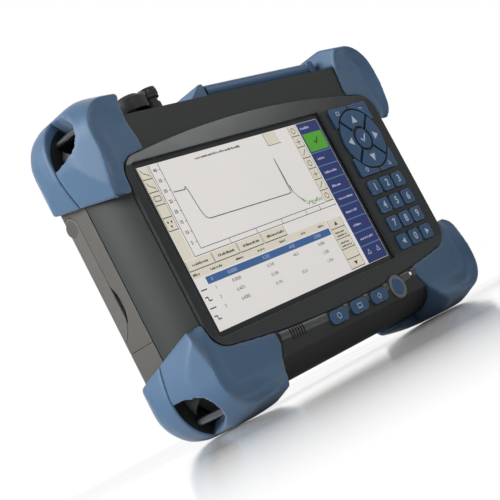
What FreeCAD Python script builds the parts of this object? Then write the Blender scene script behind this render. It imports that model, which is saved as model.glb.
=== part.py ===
import FreeCAD, Part
import os
from math import cos, sin, tan, asin, sqrt, radians, pi

# Handheld optical time domain reflectometer, as separate pieces.
#
# Millimetres.  +Z up, the front (screen) faces -Y, +X is to the right of
# someone who looks at the screen.  The origin is on the floor under the
# middle of the instrument, which stands on its two lower pairs of bumpers.

os.makedirs("parts", exist_ok=True)
V = FreeCAD.Vector

# ---------------------------------------------------------------- overall
BODY_HALF_WIDTH = 120.4     # housing, without bumpers
BODY_BOTTOM = 7.5
BODY_TOP = 168.3
CORNER_RADIUS = 16.0        # housing corners in front view
FACE_Y = -21.5              # front face of the front shell
SEAM_Y = 3.0                # joint between front and rear shells
BACK_Y = 25.5               # back face of the housing
WALL = 2.5
POST_WIDTH = 12.6           # solid corner posts that take the case screws
SIDE_ROLL = 9.2             # how far the sides turn in towards the face
TOP_ROLL = 3.0
BOTTOM_ROLL = 12.5
BACK_FILLET = 5.0
GAP = 0.3                   # clearance between pieces that only face each other
SEAT = 0.1                  # clearance of a piece lying in its pocket

# ----------------------------------------------------------------- bezel
BEZEL_HALF_WIDTH = BODY_HALF_WIDTH - 9.9
BEZEL_THICKNESS = 2.0
BEZEL_TOP_END = BODY_TOP - 24.8         # height of the arched edges at the sides
BEZEL_TOP_MID = BODY_TOP - 17.5         # and in the middle
BEZEL_BOTTOM_END = BODY_BOTTOM + 29.5
BEZEL_BOTTOM_MID = BODY_BOTTOM + 23.1
BEZEL_CORNER = 13.0
CROWN_TOP_LINE = BODY_TOP - 29.8        # above this line the bezel slopes back
CROWN_BOTTOM_LINE = BODY_BOTTOM + 35.5  # and below this one
CROWN_DROP = 1.4

# ---------------------------------------------------------------- screen
SCREEN_WIDTH = 152.4        # seven-inch, five to three
SCREEN_HEIGHT = 91.4
SCREEN_X = 9.9 + SCREEN_WIDTH / 2 - BEZEL_HALF_WIDTH   # middle of the picture area
SCREEN_Z = BODY_TOP - 77.8
SCREEN_BORDER = 3.0         # black border left visible round the picture
GLASS_LAP = 1.4             # glass held under the bezel
GLASS_THICKNESS = 1.2
PANEL_LIP = 4.5             # display module wider than the picture
PANEL_THICKNESS = 5.0

# ------------------------------------------------------------------ keys
KEY_TRAVEL = 1.0
KEY_PROUD = 1.3             # key tops above the bezel
KEY_FLANGE = 0.5            # retaining flange, beyond the cap all round
BUTTON_FLANGE = 0.7         # the same on the lower buttons
KEY_GAP = 0.2
KEY_BACK_ROOM = 0.2         # left behind a key when it is pressed home
BOARD_THICKNESS = 1.6
FLANGE_THICKNESS = 1.1
KEY_SOFTENING = 0.45        # chamfer round the key tops
PAD_X = BEZEL_HALF_WIDTH - 29.3         # middle of the direction pad
PAD_Z = SCREEN_Z + 25.0
PAD_RADIUS = 19.0
ENTER_RADIUS = 6.4
PAD_INNER = 8.6
PAD_SPOKE = 2.4             # gap between two neighbouring direction keys
KEY_SPACE = 1.5             # gap between the ring and the corner keys
CORNER_KEY_FOOT = 10.5
CORNER_KEYS_WIDTH = 38.5
CORNER_KEYS_HEIGHT = 45.0
NUMBER_PITCH_X = 12.85
NUMBER_PITCH_Z = 12.1
NUMBER_TOP_Z = SCREEN_Z - 5.7
NUMBER_WIDTH = 10.9
NUMBER_HEIGHT = 9.1
NUMBER_CORNER = 1.3
NUMBER_NAMES = ["1", "2", "3", "4", "5", "6", "7", "8", "9", "left", "0", "right"]
FUNCTION_WIDTH = 15.0
FUNCTION_HEIGHT = 7.4
FUNCTION_X = [-16.9, 2.8, 22.5]
FUNCTION_Z = BODY_BOTTOM + 18.5
POWER_X = 42.6
POWER_Z = FUNCTION_Z
POWER_RADIUS = 4.6
POWER_RING_RADIUS = 7.0
LED_X = 60.0
LED_Z = FUNCTION_Z + 3.6
LED_RADIUS = 1.1
SPEAKER_X = -51.6
SPEAKER_Z = FUNCTION_Z + 2.3
SPEAKER_SLOTS = 6
SLOT_WIDTH = 1.1
SLOT_PITCH = 2.1
SLOT_HEIGHT = 6.6

# ----------------------------------------------------------------- stand
STAND_ARM_WIDTH = 12.0
STAND_THICKNESS = 3.4
STAND_PIVOT_Z = BODY_TOP - 42.3
STAND_FOOT_Z = 60.8
STAND_HEEL_Z = 73.0         # where the arm's front edge starts to curve away
STAND_BAR_TOP = 84.8
PIVOT_RADIUS = 2.0
PIVOT_FIT = 0.05
PIVOT_HEAD_RADIUS = 4.4
PIVOT_HEAD = 1.0
THUMB_LOW_Z = 70.5
THUMB_HIGH_Z = 90.5
THUMB_DEPTH = 2.8

# ------------------------------------------------- rear and battery housing
HOUSING_SPLIT_Z = 56.0      # joint between rear shell and battery housing
GASKET_HALF = 0.4
DOOR_HALF_WIDTH = 60.0
DOOR_LOW_Z = 14.0
DOOR_HIGH_Z = 48.0
DOOR_THICKNESS = 1.6
SCREW_X = BODY_HALF_WIDTH - 22.9
SCREW_TOP_Z = BODY_TOP - 21.3
SCREW_LOW_Z = BODY_BOTTOM + 21.3
MID_SCREW_X = -36.0
MID_SCREW_Z = BODY_TOP - 9.3
SCREW_RADIUS = 1.5
SCREW_HEAD = 2.9
SCREW_BOSS = 4.2

# ------------------------------------------------------------------ ports
PORT_Y = -9.0
PORT_A_X = -71.0            # port under the flip cap
PORT_B_X = -55.4            # port under the plug cap
PORT_DECK_Z = BODY_TOP - 3.7            # sunk deck that the optical ports stand on
PORT_TOP_Z = BODY_TOP + 4.3
PORT_BARREL = 4.0
FERRULE_BORE = 1.27         # takes a 2.5 mm ferrule
FERRULE_DEPTH = 12.0
FLIP_RADIUS = 9.6
FLIP_TOP_Z = BODY_TOP + 9.7
FLIP_HINGE_Y = 1.6
FLIP_HINGE_Z = BODY_TOP + 2.1
FLIP_PIN = 0.8
PLUG_RADIUS = 5.6
PLUG_TOP_Z = BODY_TOP + 11.7
COVER_LEFT = -12.0
COVER_RIGHT = 84.0
COVER_HINGE_Y = -7.5
COVER_HINGE_Z = BODY_TOP + 3.7
COVER_BARREL = 4.1
COVER_PIN_RADIUS = 1.2
COVER_BACK_Y = 18.0
COVER_SKIN = 2.4
EAR_LEFT_X = -27.0
EAR_GAP = 2.2
EAR_RIGHT_WIDTH = 5.5
BAY_LEFT = -8.0
BAY_RIGHT = 80.0
BAY_FRONT_Y = SEAM_Y + 0.4
BAY_BACK_Y = 15.2
SOCKET_TOP_Z = BODY_TOP - 0.7
SOCKET_BOTTOM_Z = BODY_TOP - 20.3
SOCKET_DEPTH = 12.0

# ---------------------------------------------------------------- bumpers
BUMPER_SIDE = 8.1           # thickness of the rubber on the sides
BUMPER_TOP = 12.7
BUMPER_BOTTOM = 7.5
BUMPER_CORNER = 24.0        # outer radius round the corner
BUMPER_RIDGE_Y = FACE_Y - 7.0
BUMPER_TIP_Y = FACE_Y - 1.4             # flat part beside the bezel
BUMPER_BACK_Y = BACK_Y + 3.0
RIDGE_DEPTH = 6.3           # ridge, in from the outer face
FLANK_LEAN = 22.0           # slant of the flank behind the ridge
FLANK_ROLL = 20.0           # arc that joins it to the outer face
SCOOP_DEPTH = 20.0          # inner end of the hollowed front
SCOOP_MID_DEPTH = 12.0      # its middle
SCOOP_MID_Y = FACE_Y - 3.4
OVER_FACE = 40.0            # how far the upper and lower bumpers run in over the face
OVER_BACK = 27.0            # and the rear ones over the back
BACK_ROLL_Y = BUMPER_BACK_Y - 16.5
BACK_ROLL_DEPTH = 14.0
BACK_ROLL_FACETS = 4
TAIL_TOP = 43.3             # how far down the sides the upper bumpers reach
TAIL_LOW = 44.0             # and how far up the lower ones
TAIL_RUN = 24.0             # length over which those ends thin out
TAPER_BULGE = 0.35          # share of the thinning reached half way along
TAIL_END = 1.0              # rubber left at the end
TAIL_Y = FACE_Y - 1.3              # front of the rubber at the end
LEAN_TOP = 0.24             # slant of those ends, front to back
LEAN_LOW = 0.32
TOP_TIP_X = BODY_HALF_WIDTH - 30.4      # inner tips of the front bumpers
TOP_TIP_Z = BEZEL_TOP_MID
TOP_EDGE_X = BODY_HALF_WIDTH - 23.9     # where the upper ones reach the top
LOW_TIP_X = BODY_HALF_WIDTH - 54.4
LOW_TIP_Z = BODY_BOTTOM + 18.5
LOW_EDGE_X = BODY_HALF_WIDTH - 38.4     # where the lower ones reach the floor
REAR_TOP_X = BODY_HALF_WIDTH - 26.4     # inner ends of the rear bumpers
REAR_LOW_X = BODY_HALF_WIDTH - 54.4
TOP_END = 10.0              # rubber left at the inner ends
LOW_END = 3.2
TOP_END_Y = FACE_Y - 4.5                # how far forward those ends stand
LOW_END_Y = FACE_Y - 2.1
TOP_RUN = 12.0              # length over which they thin out
LOW_RUN = 28.0
STRAP_BAR_RADIUS = 2.0
STRAP_BAR_REACH = 18.6      # from the housing's corner centre
STRAP_POCKET_REACH = 10.4


# ------------------------------------------------------------ small tools
def save(name, shape):
    shape.exportStep("parts/" + name + ".step")


def wire_of(points):
    corners = [V(*p) for p in points]
    return Part.makePolygon(corners + corners[:1])


def prism(wire, dy):
    return Part.Face(wire).extrude(V(0, dy, 0))


def block(x0, x1, y0, y1, z0, z1):
    return Part.makeBox(x1 - x0, y1 - y0, z1 - z0, V(x0, y0, z0))


def rod_y(x, z, radius, y0, y1):
    return Part.makeCylinder(radius, y1 - y0, V(x, y0, z), V(0, 1, 0))


def rod_x(y, z, radius, x0, x1):
    return Part.makeCylinder(radius, x1 - x0, V(x0, y, z), V(1, 0, 0))


def rod_z(x, y, radius, z0, z1):
    return Part.makeCylinder(radius, z1 - z0, V(x, y, z0), V(0, 0, 1))


def arc(a, mid, b):
    return Part.Arc(V(*a), V(*mid), V(*b)).toShape()


def line(a, b):
    return Part.LineSegment(V(*a), V(*b)).toShape()


def rounded_rect(x0, x1, z0, z1, r, y):
    """Rounded rectangle in the plane at y."""
    k = r * (1 - sqrt(0.5))
    edges = [
        line((x0 + r, y, z0), (x1 - r, y, z0)),
        arc((x1 - r, y, z0), (x1 - k, y, z0 + k), (x1, y, z0 + r)),
        line((x1, y, z0 + r), (x1, y, z1 - r)),
        arc((x1, y, z1 - r), (x1 - k, y, z1 - k), (x1 - r, y, z1)),
        line((x1 - r, y, z1), (x0 + r, y, z1)),
        arc((x0 + r, y, z1), (x0 + k, y, z1 - k), (x0, y, z1 - r)),
        line((x0, y, z1 - r), (x0, y, z0 + r)),
        arc((x0, y, z0 + r), (x0 + k, y, z0 + k), (x0 + r, y, z0)),
    ]
    return Part.Wire(edges)


def pad(x0, x1, z0, z1, r, y0, y1):
    return prism(rounded_rect(x0, x1, z0, z1, r, y0), y1 - y0)


def edges_at(shape, test):
    """Edges whose both ends satisfy the test."""
    return [e for e in shape.Edges if all(test(v.Point) for v in e.Vertexes)]


def mirror_x(shape):
    return shape.mirror(V(0, 0, 0), V(1, 0, 0))


def both_sides(shape):
    return Part.makeCompound([shape, mirror_x(shape)])


def fused(shapes):
    return shapes[0].multiFuse(shapes[1:]).removeSplitter()


# ---------------------------------------------------------- housing forms
def roll_radius(roll, depth):
    """Radius of an arc that leaves a flank smoothly and ends roll further in."""
    return (roll ** 2 + depth ** 2) / (2 * roll)


def rolled_prism(place, run, turn, end, inset, low, high):
    """Prism along run, from the seam, whose flanks roll in from y = turn to y = end.

    low and high give each flank's place, before the inset, and how far it rolls in.
    """
    depth = abs(end - turn) - inset
    face = end - inset if end > turn else end + inset
    edges = []
    feet = []
    for flank, roll in (low, high):
        way = 1 if roll > 0 else -1
        r = roll_radius(abs(roll), abs(end - turn)) - inset
        half = asin(depth / r) / 2
        wall = flank + way * inset
        foot = place(face, wall + way * (r - sqrt(r ** 2 - depth ** 2)))
        mid = place(turn + (face - turn) * sin(half) * r / depth, wall + way * r * (1 - cos(half)))
        edges.append(Part.Arc(place(turn, wall), mid, foot).toShape())
        if turn != SEAM_Y:
            edges.append(Part.LineSegment(place(SEAM_Y, wall), place(turn, wall)).toShape())
        feet.append((foot, place(SEAM_Y, wall)))
    edges += [Part.LineSegment(a, b).toShape() for a, b in zip(*feet)]
    return Part.Face(Part.Wire(Part.__sortEdges__(edges))).extrude(run)


def housing_form(turn, end, side_roll, low_roll, top_roll, inset):
    """One half of the housing, from the seam to its end face, inset on all sides."""
    half = BODY_HALF_WIDTH - inset
    low = BODY_BOTTOM + inset
    high = BODY_TOP - inset
    across = rolled_prism(lambda y, z: V(-half, y, z), V(2 * half, 0, 0), turn, end, inset,
                          (BODY_BOTTOM, low_roll), (BODY_TOP, -top_roll))
    upright = rolled_prism(lambda y, x: V(x, y, low), V(0, 0, high - low), turn, end, inset,
                           (-BODY_HALF_WIDTH, side_roll), (BODY_HALF_WIDTH, -side_roll))
    corners = pad(-half, half, low, high, CORNER_RADIUS - inset, min(SEAM_Y, end), max(SEAM_Y, end))
    return across.common(upright).common(corners)


def front_form(inset):
    """Front half of the housing: long rolls from the seam to the face."""
    return housing_form(SEAM_Y, FACE_Y, SIDE_ROLL, BOTTOM_ROLL, TOP_ROLL, inset)


def rear_form(inset):
    """Rear half of the housing: straight walls, rounded back edges."""
    return housing_form(BACK_Y - BACK_FILLET, BACK_Y, BACK_FILLET, BACK_FILLET, BACK_FILLET, inset)


# ------------------------------------------------------------------ bezel
def arched_outline(half, top_end, top_mid, low_end, low_mid, r, y):
    """Plate outline with arched top and bottom edges and rounded corners."""
    k = r * (1 - sqrt(0.5))
    x = half - r
    edges = [
        arc((-x, y, low_end), (0, y, low_mid), (x, y, low_end)),
        arc((x, y, low_end), (half - k, y, low_end + k), (half, y, low_end + r)),
        line((half, y, low_end + r), (half, y, top_end - r)),
        arc((half, y, top_end - r), (half - k, y, top_end - k), (x, y, top_end)),
        arc((x, y, top_end), (0, y, top_mid), (-x, y, top_end)),
        arc((-x, y, top_end), (-half + k, y, top_end - k), (-half, y, top_end - r)),
        line((-half, y, top_end - r), (-half, y, low_end + r)),
        arc((-half, y, low_end + r), (-half + k, y, low_end + k), (-x, y, low_end)),
    ]
    return Part.Wire(edges)


def bezel_outline(grow, y):
    return arched_outline(BEZEL_HALF_WIDTH + grow, BEZEL_TOP_END + grow, BEZEL_TOP_MID + grow,
                          BEZEL_BOTTOM_END - grow, BEZEL_BOTTOM_MID - grow, BEZEL_CORNER + grow, y)


def screen_window(grow, y0, y1, r):
    half_w = SCREEN_WIDTH / 2 + grow
    half_h = SCREEN_HEIGHT / 2 + grow
    return pad(SCREEN_X - half_w, SCREEN_X + half_w, SCREEN_Z - half_h, SCREEN_Z + half_h, r, y0, y1)


BEZEL_Y = FACE_Y - BEZEL_THICKNESS


def crown_cut(z_line, z_far):
    """Wedge that slopes the bezel back from a straight line to its arched edge."""
    reach = 1.2 * (z_far - z_line)
    drop = 1.2 * CROWN_DROP
    profile = wire_of([(-200, BEZEL_Y, z_line), (-200, BEZEL_Y + drop, z_line + reach),
                       (-200, BEZEL_Y - 5, z_line + reach), (-200, BEZEL_Y - 5, z_line)])
    return Part.Face(profile).extrude(V(400, 0, 0))


def key_holes():
    y0 = BEZEL_Y - 1
    y1 = FACE_Y + 1
    return [key_prism(shape, KEY_GAP, y0, y1) for shape in key_shapes().values()]


def bezel_frame():
    body = prism(bezel_outline(0, FACE_Y), -BEZEL_THICKNESS)
    body = body.cut(crown_cut(CROWN_TOP_LINE, BEZEL_TOP_MID))
    body = body.cut(crown_cut(CROWN_BOTTOM_LINE, BEZEL_BOTTOM_MID))
    window = screen_window(SCREEN_BORDER, BEZEL_Y - 1, FACE_Y + 1, 2.0)
    body = body.cut(window)
    rim = edges_at(body, lambda p: abs(p.y - BEZEL_Y) < 0.01 and in_window_rim(p))
    body = body.makeChamfer(1.2, rim)
    for hole in key_holes():
        body = body.cut(hole)
    return body.cut(rod_y(POWER_X, POWER_Z, POWER_RING_RADIUS + GAP, BEZEL_Y - 1, FACE_Y + 1))


def in_window_rim(p):
    half_w = SCREEN_WIDTH / 2 + SCREEN_BORDER
    half_h = SCREEN_HEIGHT / 2 + SCREEN_BORDER
    return abs(p.x - SCREEN_X) < half_w + 0.1 and abs(p.z - SCREEN_Z) < half_h + 0.1


# ------------------------------------------------------------------- keys
def ring_sector(direction, grow):
    """Outline of a direction key: a quarter of a ring between two spokes."""
    outer = PAD_RADIUS + grow
    inner = PAD_INNER - grow
    half_gap = PAD_SPOKE / 2 - grow
    ends = []
    for radius in (outer, inner):
        swing = pi / 4 - asin(half_gap / radius)
        ends.append((radius, swing))

    def at(radius, angle):
        a = radians(direction) + angle
        return (PAD_X + radius * cos(a), 0, PAD_Z + radius * sin(a))

    (ro, so), (ri, si) = ends
    return Part.Wire([
        arc(at(ro, -so), at(ro, 0), at(ro, so)),
        line(at(ro, so), at(ri, si)),
        arc(at(ri, si), at(ri, 0), at(ri, -si)),
        line(at(ri, -si), at(ro, -so)),
    ])


def corner_key(side_x, side_z, grow):
    """Corner key: a rectangle's corner left outside the direction ring."""
    ring = PAD_RADIUS + KEY_SPACE - grow
    r = 1.2 + grow
    k = r * (1 - sqrt(0.5))
    x_in = KEY_SPACE / 2 - grow
    z_in = CORNER_KEY_FOOT - grow
    x_out = CORNER_KEYS_WIDTH / 2 + grow
    z_out = CORNER_KEYS_HEIGHT / 2 + grow
    bend = (x_in + sqrt(ring ** 2 - z_in ** 2)) / 2

    def at(x, z):
        return (PAD_X + side_x * x, 0, PAD_Z + side_z * z)

    top = at(x_in, sqrt(ring ** 2 - x_in ** 2))
    foot = at(sqrt(ring ** 2 - z_in ** 2), z_in)
    return Part.Wire([
        line(top, at(x_in, z_out)),
        line(at(x_in, z_out), at(x_out - r, z_out)),
        arc(at(x_out - r, z_out), at(x_out - k, z_out - k), at(x_out, z_out - r)),
        line(at(x_out, z_out - r), at(x_out, z_in)),
        line(at(x_out, z_in), foot),
        arc(foot, at(bend, sqrt(ring ** 2 - bend ** 2)), top),
    ])


def key_shapes():
    """Name of each key, and the outline of its cap for a given growth."""
    middle = V(PAD_X, 0, PAD_Z)
    shapes = {"key_enter": lambda g: Part.Wire(Part.makeCircle(ENTER_RADIUS + g, middle, V(0, 1, 0)))}
    for name, angle in (("right", 0), ("up", 90), ("left", 180), ("down", 270)):
        shapes["key_" + name] = lambda g, a=angle: ring_sector(a, g)
    corners = {"top_left": (-1, 1), "top_right": (1, 1), "low_left": (-1, -1), "low_right": (1, -1)}
    for name, (sx, sz) in corners.items():
        shapes["key_" + name] = lambda g, sx=sx, sz=sz: corner_key(sx, sz, g)
    for i, name in enumerate(NUMBER_NAMES):
        x = PAD_X + (i % 3 - 1) * NUMBER_PITCH_X
        z = NUMBER_TOP_Z - (i // 3) * NUMBER_PITCH_Z
        shapes["key_number_" + name] = lambda g, x=x, z=z: cut_rect(x, z, NUMBER_WIDTH, NUMBER_HEIGHT, g)
    return shapes


def key_rect(x, z, width, height, r, grow):
    return rounded_rect(x - width / 2 - grow, x + width / 2 + grow,
                        z - height / 2 - grow, z + height / 2 + grow, r + grow, 0)


def cut_rect(x, z, width, height, grow):
    """Rectangle with its corners cut off, about a centre."""
    half_w = width / 2 + grow
    half_h = height / 2 + grow
    cut = NUMBER_CORNER + grow * (2 - sqrt(2))
    corners = []
    for sx, sz in ((1, 1), (-1, 1), (-1, -1), (1, -1)):
        ends = [(sx * half_w, sz * (half_h - cut)), (sx * (half_w - cut), sz * half_h)]
        corners += ends if sx * sz > 0 else ends[::-1]
    return wire_of([(x + dx, 0, z + dz) for dx, dz in corners])


def key_prism(shape, grow, y0, y1):
    solid = prism(shape(grow), y1 - y0)
    solid.translate(V(0, y0, 0))
    return solid


def square_flange(shape, lip):
    b = shape(lip).BoundBox
    return wire_of([(b.XMin, 0, b.ZMin), (b.XMax, 0, b.ZMin), (b.XMax, 0, b.ZMax), (b.XMin, 0, b.ZMax)])


def key(shape, front_y, plate_back_y, flange_wire):
    """Key cap with a flange that stays behind the plate."""
    cap = key_prism(shape, 0, front_y, plate_back_y + GAP)
    flange = prism(flange_wire, FLANGE_THICKNESS)
    flange.translate(V(0, plate_back_y + GAP, 0))
    return cap.fuse(flange).removeSplitter()


def softened(solid, front_y):
    """A key with a chamfer round its top."""
    return solid.makeChamfer(KEY_SOFTENING, edges_at(solid, lambda p: abs(p.y - front_y) < 0.01))


# ----------------------------------------------------------- front shell
CHIN_Y = FACE_Y - 1.6
INNER_FACE_Y = FACE_Y + WALL


def low_edge_x(z):
    """Half width between the lower bumpers, below their tips."""
    slope = (LOW_EDGE_X - LOW_TIP_X) / LOW_TIP_Z
    return LOW_TIP_X + (LOW_TIP_Z - z) * slope


def chin():
    """Raised band under the bezel, between the lower bumpers, for the buttons."""
    half_top = LOW_TIP_X - GAP
    low = BODY_BOTTOM + BOTTOM_ROLL - 1.5
    half_low = low_edge_x(low) - GAP
    end = BEZEL_BOTTOM_MID + 1.9
    y = FACE_Y + 1
    edges = [
        arc((-half_top, y, end), (0, y, BEZEL_BOTTOM_MID - GAP), (half_top, y, end)),
        line((half_top, y, end), (half_top, y, LOW_TIP_Z)),
        line((half_top, y, LOW_TIP_Z), (half_low, y, low)),
        line((half_low, y, low), (-half_low, y, low)),
        line((-half_low, y, low), (-half_top, y, LOW_TIP_Z)),
        line((-half_top, y, LOW_TIP_Z), (-half_top, y, end)),
    ]
    solid = prism(Part.Wire(edges), CHIN_Y - y)
    rim = edges_at(solid, lambda p: abs(p.y - CHIN_Y) < 0.01)
    return solid.makeChamfer(1.2, rim)


def screw_places():
    return [(-SCREW_X, SCREW_TOP_Z), (SCREW_X, SCREW_TOP_Z), (-SCREW_X, SCREW_LOW_Z),
            (SCREW_X, SCREW_LOW_Z), (MID_SCREW_X, MID_SCREW_Z)]


def square_boss(x, z, y0, y1):
    """Block that a screw runs through."""
    return block(x - SCREW_BOSS, x + SCREW_BOSS, y0, y1, z - SCREW_BOSS, z + SCREW_BOSS)


def lower_buttons():
    """The three function buttons, on the chin."""
    shapes = {}
    for i, x in enumerate(FUNCTION_X):
        shapes["function_button_%d" % (i + 1)] = (
            lambda g, x=x: key_rect(x, FUNCTION_Z, FUNCTION_WIDTH, FUNCTION_HEIGHT, 3.0, g))
    shapes["power_button"] = lambda g: Part.Wire(
        Part.makeCircle(POWER_RADIUS + g, V(POWER_X, 0, POWER_Z), V(0, 1, 0)))
    return shapes


def keypad_window():
    x0 = PAD_X - CORNER_KEYS_WIDTH / 2 - 1.0
    x1 = PAD_X + CORNER_KEYS_WIDTH / 2 + 1.0
    z0 = NUMBER_TOP_Z - 3 * NUMBER_PITCH_Z - NUMBER_HEIGHT / 2 - 1.0
    z1 = PAD_Z + CORNER_KEYS_HEIGHT / 2 + 1.0
    return x0, x1, z0, z1


def panel_space(grow, y0, y1):
    return screen_window(PANEL_LIP + grow, y0, y1, 1.0)


def speaker_slots(y0, y1):
    slots = []
    for i in range(SPEAKER_SLOTS):
        x = SPEAKER_X + (i - (SPEAKER_SLOTS - 1) / 2) * SLOT_PITCH
        slots.append(block(x - SLOT_WIDTH / 2, x + SLOT_WIDTH / 2, y0, y1,
                           SPEAKER_Z - SLOT_HEIGHT / 2, SPEAKER_Z + SLOT_HEIGHT / 2))
    return slots


def board_front_y():
    """Front of the board that the keypad mat and the lower buttons work against."""
    return INNER_FACE_Y + GAP + FLANGE_THICKNESS + KEY_TRAVEL + KEY_BACK_ROOM


def corner_posts(grow, y0, y1):
    """Square posts that fill the housing's corners."""
    inner_x = BODY_HALF_WIDTH - CORNER_RADIUS - POST_WIDTH - grow
    posts = []
    for z, sign in ((BODY_BOTTOM + CORNER_RADIUS, -1), (BODY_TOP - CORNER_RADIUS, 1)):
        ends = (z - sign * (POST_WIDTH + grow), z + sign * CORNER_RADIUS)
        for left, right in ((-BODY_HALF_WIDTH, -inner_x), (inner_x, BODY_HALF_WIDTH)):
            posts.append(block(left, right, y0, y1, min(ends), max(ends)))
    return posts


def beside_posts(sheet):
    """A sheet notched round the housing's corner posts."""
    for post in corner_posts(GAP, FACE_Y, BACK_Y):
        sheet = sheet.cut(post)
    return sheet


def key_board():
    """L-shaped board: a column behind the keypad, a foot behind the buttons."""
    y0 = board_front_y()
    y1 = y0 + BOARD_THICKNESS
    x0, x1, z0, z1 = keypad_window()
    column = block(x0 - 2.5, x1 + 2.5, y0, y1, z0 - 2.5, z1 + 2.5)
    neck = block(x0 - 2.5, x0 + 10, y0, y1, FUNCTION_Z, z0)
    foot = block(FUNCTION_X[0] - FUNCTION_WIDTH / 2 - 6, x0 + 10, y0, y1, FUNCTION_Z - 6, FUNCTION_Z + 6)
    return beside_posts(fused([column, neck, foot]))


def front_shell():
    form = front_form(0)
    body = form.cut(front_form(WALL))
    solids = corner_posts(0, FACE_Y, SEAM_Y)
    solids.append(square_boss(MID_SCREW_X, MID_SCREW_Z, FACE_Y, SEAM_Y))
    solids.append(block(PORT_A_X - 11, PORT_B_X + 9, PORT_Y - 9, SEAM_Y, PORT_DECK_Z - WALL, BODY_TOP))
    board = key_board().BoundBox
    for x in (board.XMin + 2.5, LED_X + 6):
        solids.append(block(x - 2, x + 2, FACE_Y + 1, board.YMin, FUNCTION_Z - 2, FUNCTION_Z + 2))
    inside = [s.common(form) for s in solids]
    body = body.multiFuse(inside)
    body = body.cut(panel_space(1.0, INNER_FACE_Y, SEAM_Y + 1))
    body = body.fuse(chin())
    cuts = [screen_window(SCREEN_BORDER + GLASS_LAP + SEAT, FACE_Y - 1, FACE_Y + GLASS_THICKNESS + SEAT, 2.5),
            screen_window(SCREEN_BORDER - 1.0, FACE_Y - 1, INNER_FACE_Y + 1, 1.5)]
    x0, x1, z0, z1 = keypad_window()
    cuts.append(pad(x0, x1, z0, z1, 2.0, FACE_Y - 1, INNER_FACE_Y + 1))
    for shape in lower_buttons().values():
        cuts.append(key_prism(shape, KEY_GAP, CHIN_Y - 1, INNER_FACE_Y + 1))
    cuts.append(rod_y(POWER_X, POWER_Z, POWER_RING_RADIUS + SEAT, CHIN_Y - 1, FACE_Y))
    cuts.append(rod_y(LED_X, LED_Z, LED_RADIUS + SEAT, CHIN_Y - 1, INNER_FACE_Y + 1))
    cuts += speaker_slots(CHIN_Y - 1, INNER_FACE_Y + 1)
    cuts += [rod_y(x, z, SCREW_RADIUS + PIVOT_FIT, SEAM_Y - 14, SEAM_Y + 1) for x, z in screw_places()]
    cuts += strap_pockets()
    cuts.append(port_deck(BODY_TOP + 1))
    for x in (PORT_A_X, PORT_B_X):
        cuts.append(rod_z(x, PORT_Y, PORT_BARREL + 0.6, PORT_DECK_Z - 6, PORT_DECK_Z + 1))
    cuts.append(cover_trough())
    cuts.append(block(-200, 200, SEAM_Y - GASKET_HALF, SEAM_Y + 2, -10, 300))
    body = body.cut(cuts[0].multiFuse(cuts[1:]))
    body = body.fuse(flip_lugs())
    return body.cut(rod_x(FLIP_HINGE_Y, FLIP_HINGE_Z, FLIP_PIN, PORT_A_X - 9, PORT_A_X + 9))


def touch_glass():
    return screen_window(SCREEN_BORDER + GLASS_LAP, FACE_Y, FACE_Y + GLASS_THICKNESS, 2.4)


def display_panel():
    y0 = FACE_Y + GLASS_THICKNESS + 2 * SEAT
    front = screen_window(SCREEN_BORDER - 1.3, y0, INNER_FACE_Y + 2, 1.2)
    back = panel_space(0, INNER_FACE_Y + SEAT, INNER_FACE_Y + SEAT + PANEL_THICKNESS)
    return front.fuse(back).removeSplitter()


def keypad_mat():
    """Elastomer sheet that springs the keys back, pressed on the board."""
    x0, x1, z0, z1 = keypad_window()
    y0 = INNER_FACE_Y + SEAT
    return beside_posts(block(x0 - 2.5, x1 + 2.5, y0, board_front_y() - SEAT, z0 - 2.5, z1 + 2.5))


def power_ring():
    outer = rod_y(POWER_X, POWER_Z, POWER_RING_RADIUS, CHIN_Y - 0.9, FACE_Y)
    return outer.cut(rod_y(POWER_X, POWER_Z, POWER_RADIUS + KEY_GAP, CHIN_Y - 2, FACE_Y + 1))


def status_lens():
    return rod_y(LED_X, LED_Z, LED_RADIUS, CHIN_Y - 0.25, INNER_FACE_Y + 0.4)


def speaker():
    y0 = INNER_FACE_Y + SEAT
    return rod_y(SPEAKER_X, SPEAKER_Z, 7.0, y0, y0 + 3.5)


def main_board():
    """Processor board behind the display, with its larger chips."""
    y0 = INNER_FACE_Y + SEAT + PANEL_THICKNESS + GAP
    y1 = y0 + BOARD_THICKNESS
    board = pad(-84, 84, SCREEN_Z - 50.5, SCREEN_Z + 47.5, 3, y0, y1)
    chips = [(-52, -24.5, 22, 22, 2.4), (-12, -18.5, 15, 15, 1.4), (-12, 7.5, 15, 15, 1.4),
             (26, -6.5, 28, 20, 2.0), (60, 21.5, 12, 12, 1.6), (-58, 19.5, 30, 8, 3.2)]
    parts = [board]
    for x, z, w, h, t in chips:
        middle = SCREEN_Z + z
        parts.append(block(x - w / 2, x + w / 2, y1, y1 + t, middle - h / 2, middle + h / 2))
    return fused(parts)


# ---------------------------------------------------- rear half of the case
def stand_profile(grow, x0, x1):
    """Side outline of the stand's arm, run across from x0 to x1."""
    y_back = BACK_Y + grow
    y_front = BACK_Y - STAND_ARM_WIDTH - grow
    y_mid = (y_back + y_front) / 2
    r = (y_back - y_front) / 2
    foot = STAND_FOOT_Z - grow
    heel = STAND_HEEL_Z
    edges = [
        arc((x0, y_front, STAND_PIVOT_Z), (x0, y_mid, STAND_PIVOT_Z + r), (x0, y_back, STAND_PIVOT_Z)),
        line((x0, y_back, STAND_PIVOT_Z), (x0, y_back, foot)),
        arc((x0, y_back, foot), (x0, y_front + 3.7, foot + 5.4), (x0, y_front, heel)),
        line((x0, y_front, heel), (x0, y_front, STAND_PIVOT_Z)),
    ]
    return Part.Face(Part.Wire(edges)).extrude(V(x1 - x0, 0, 0))


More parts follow.
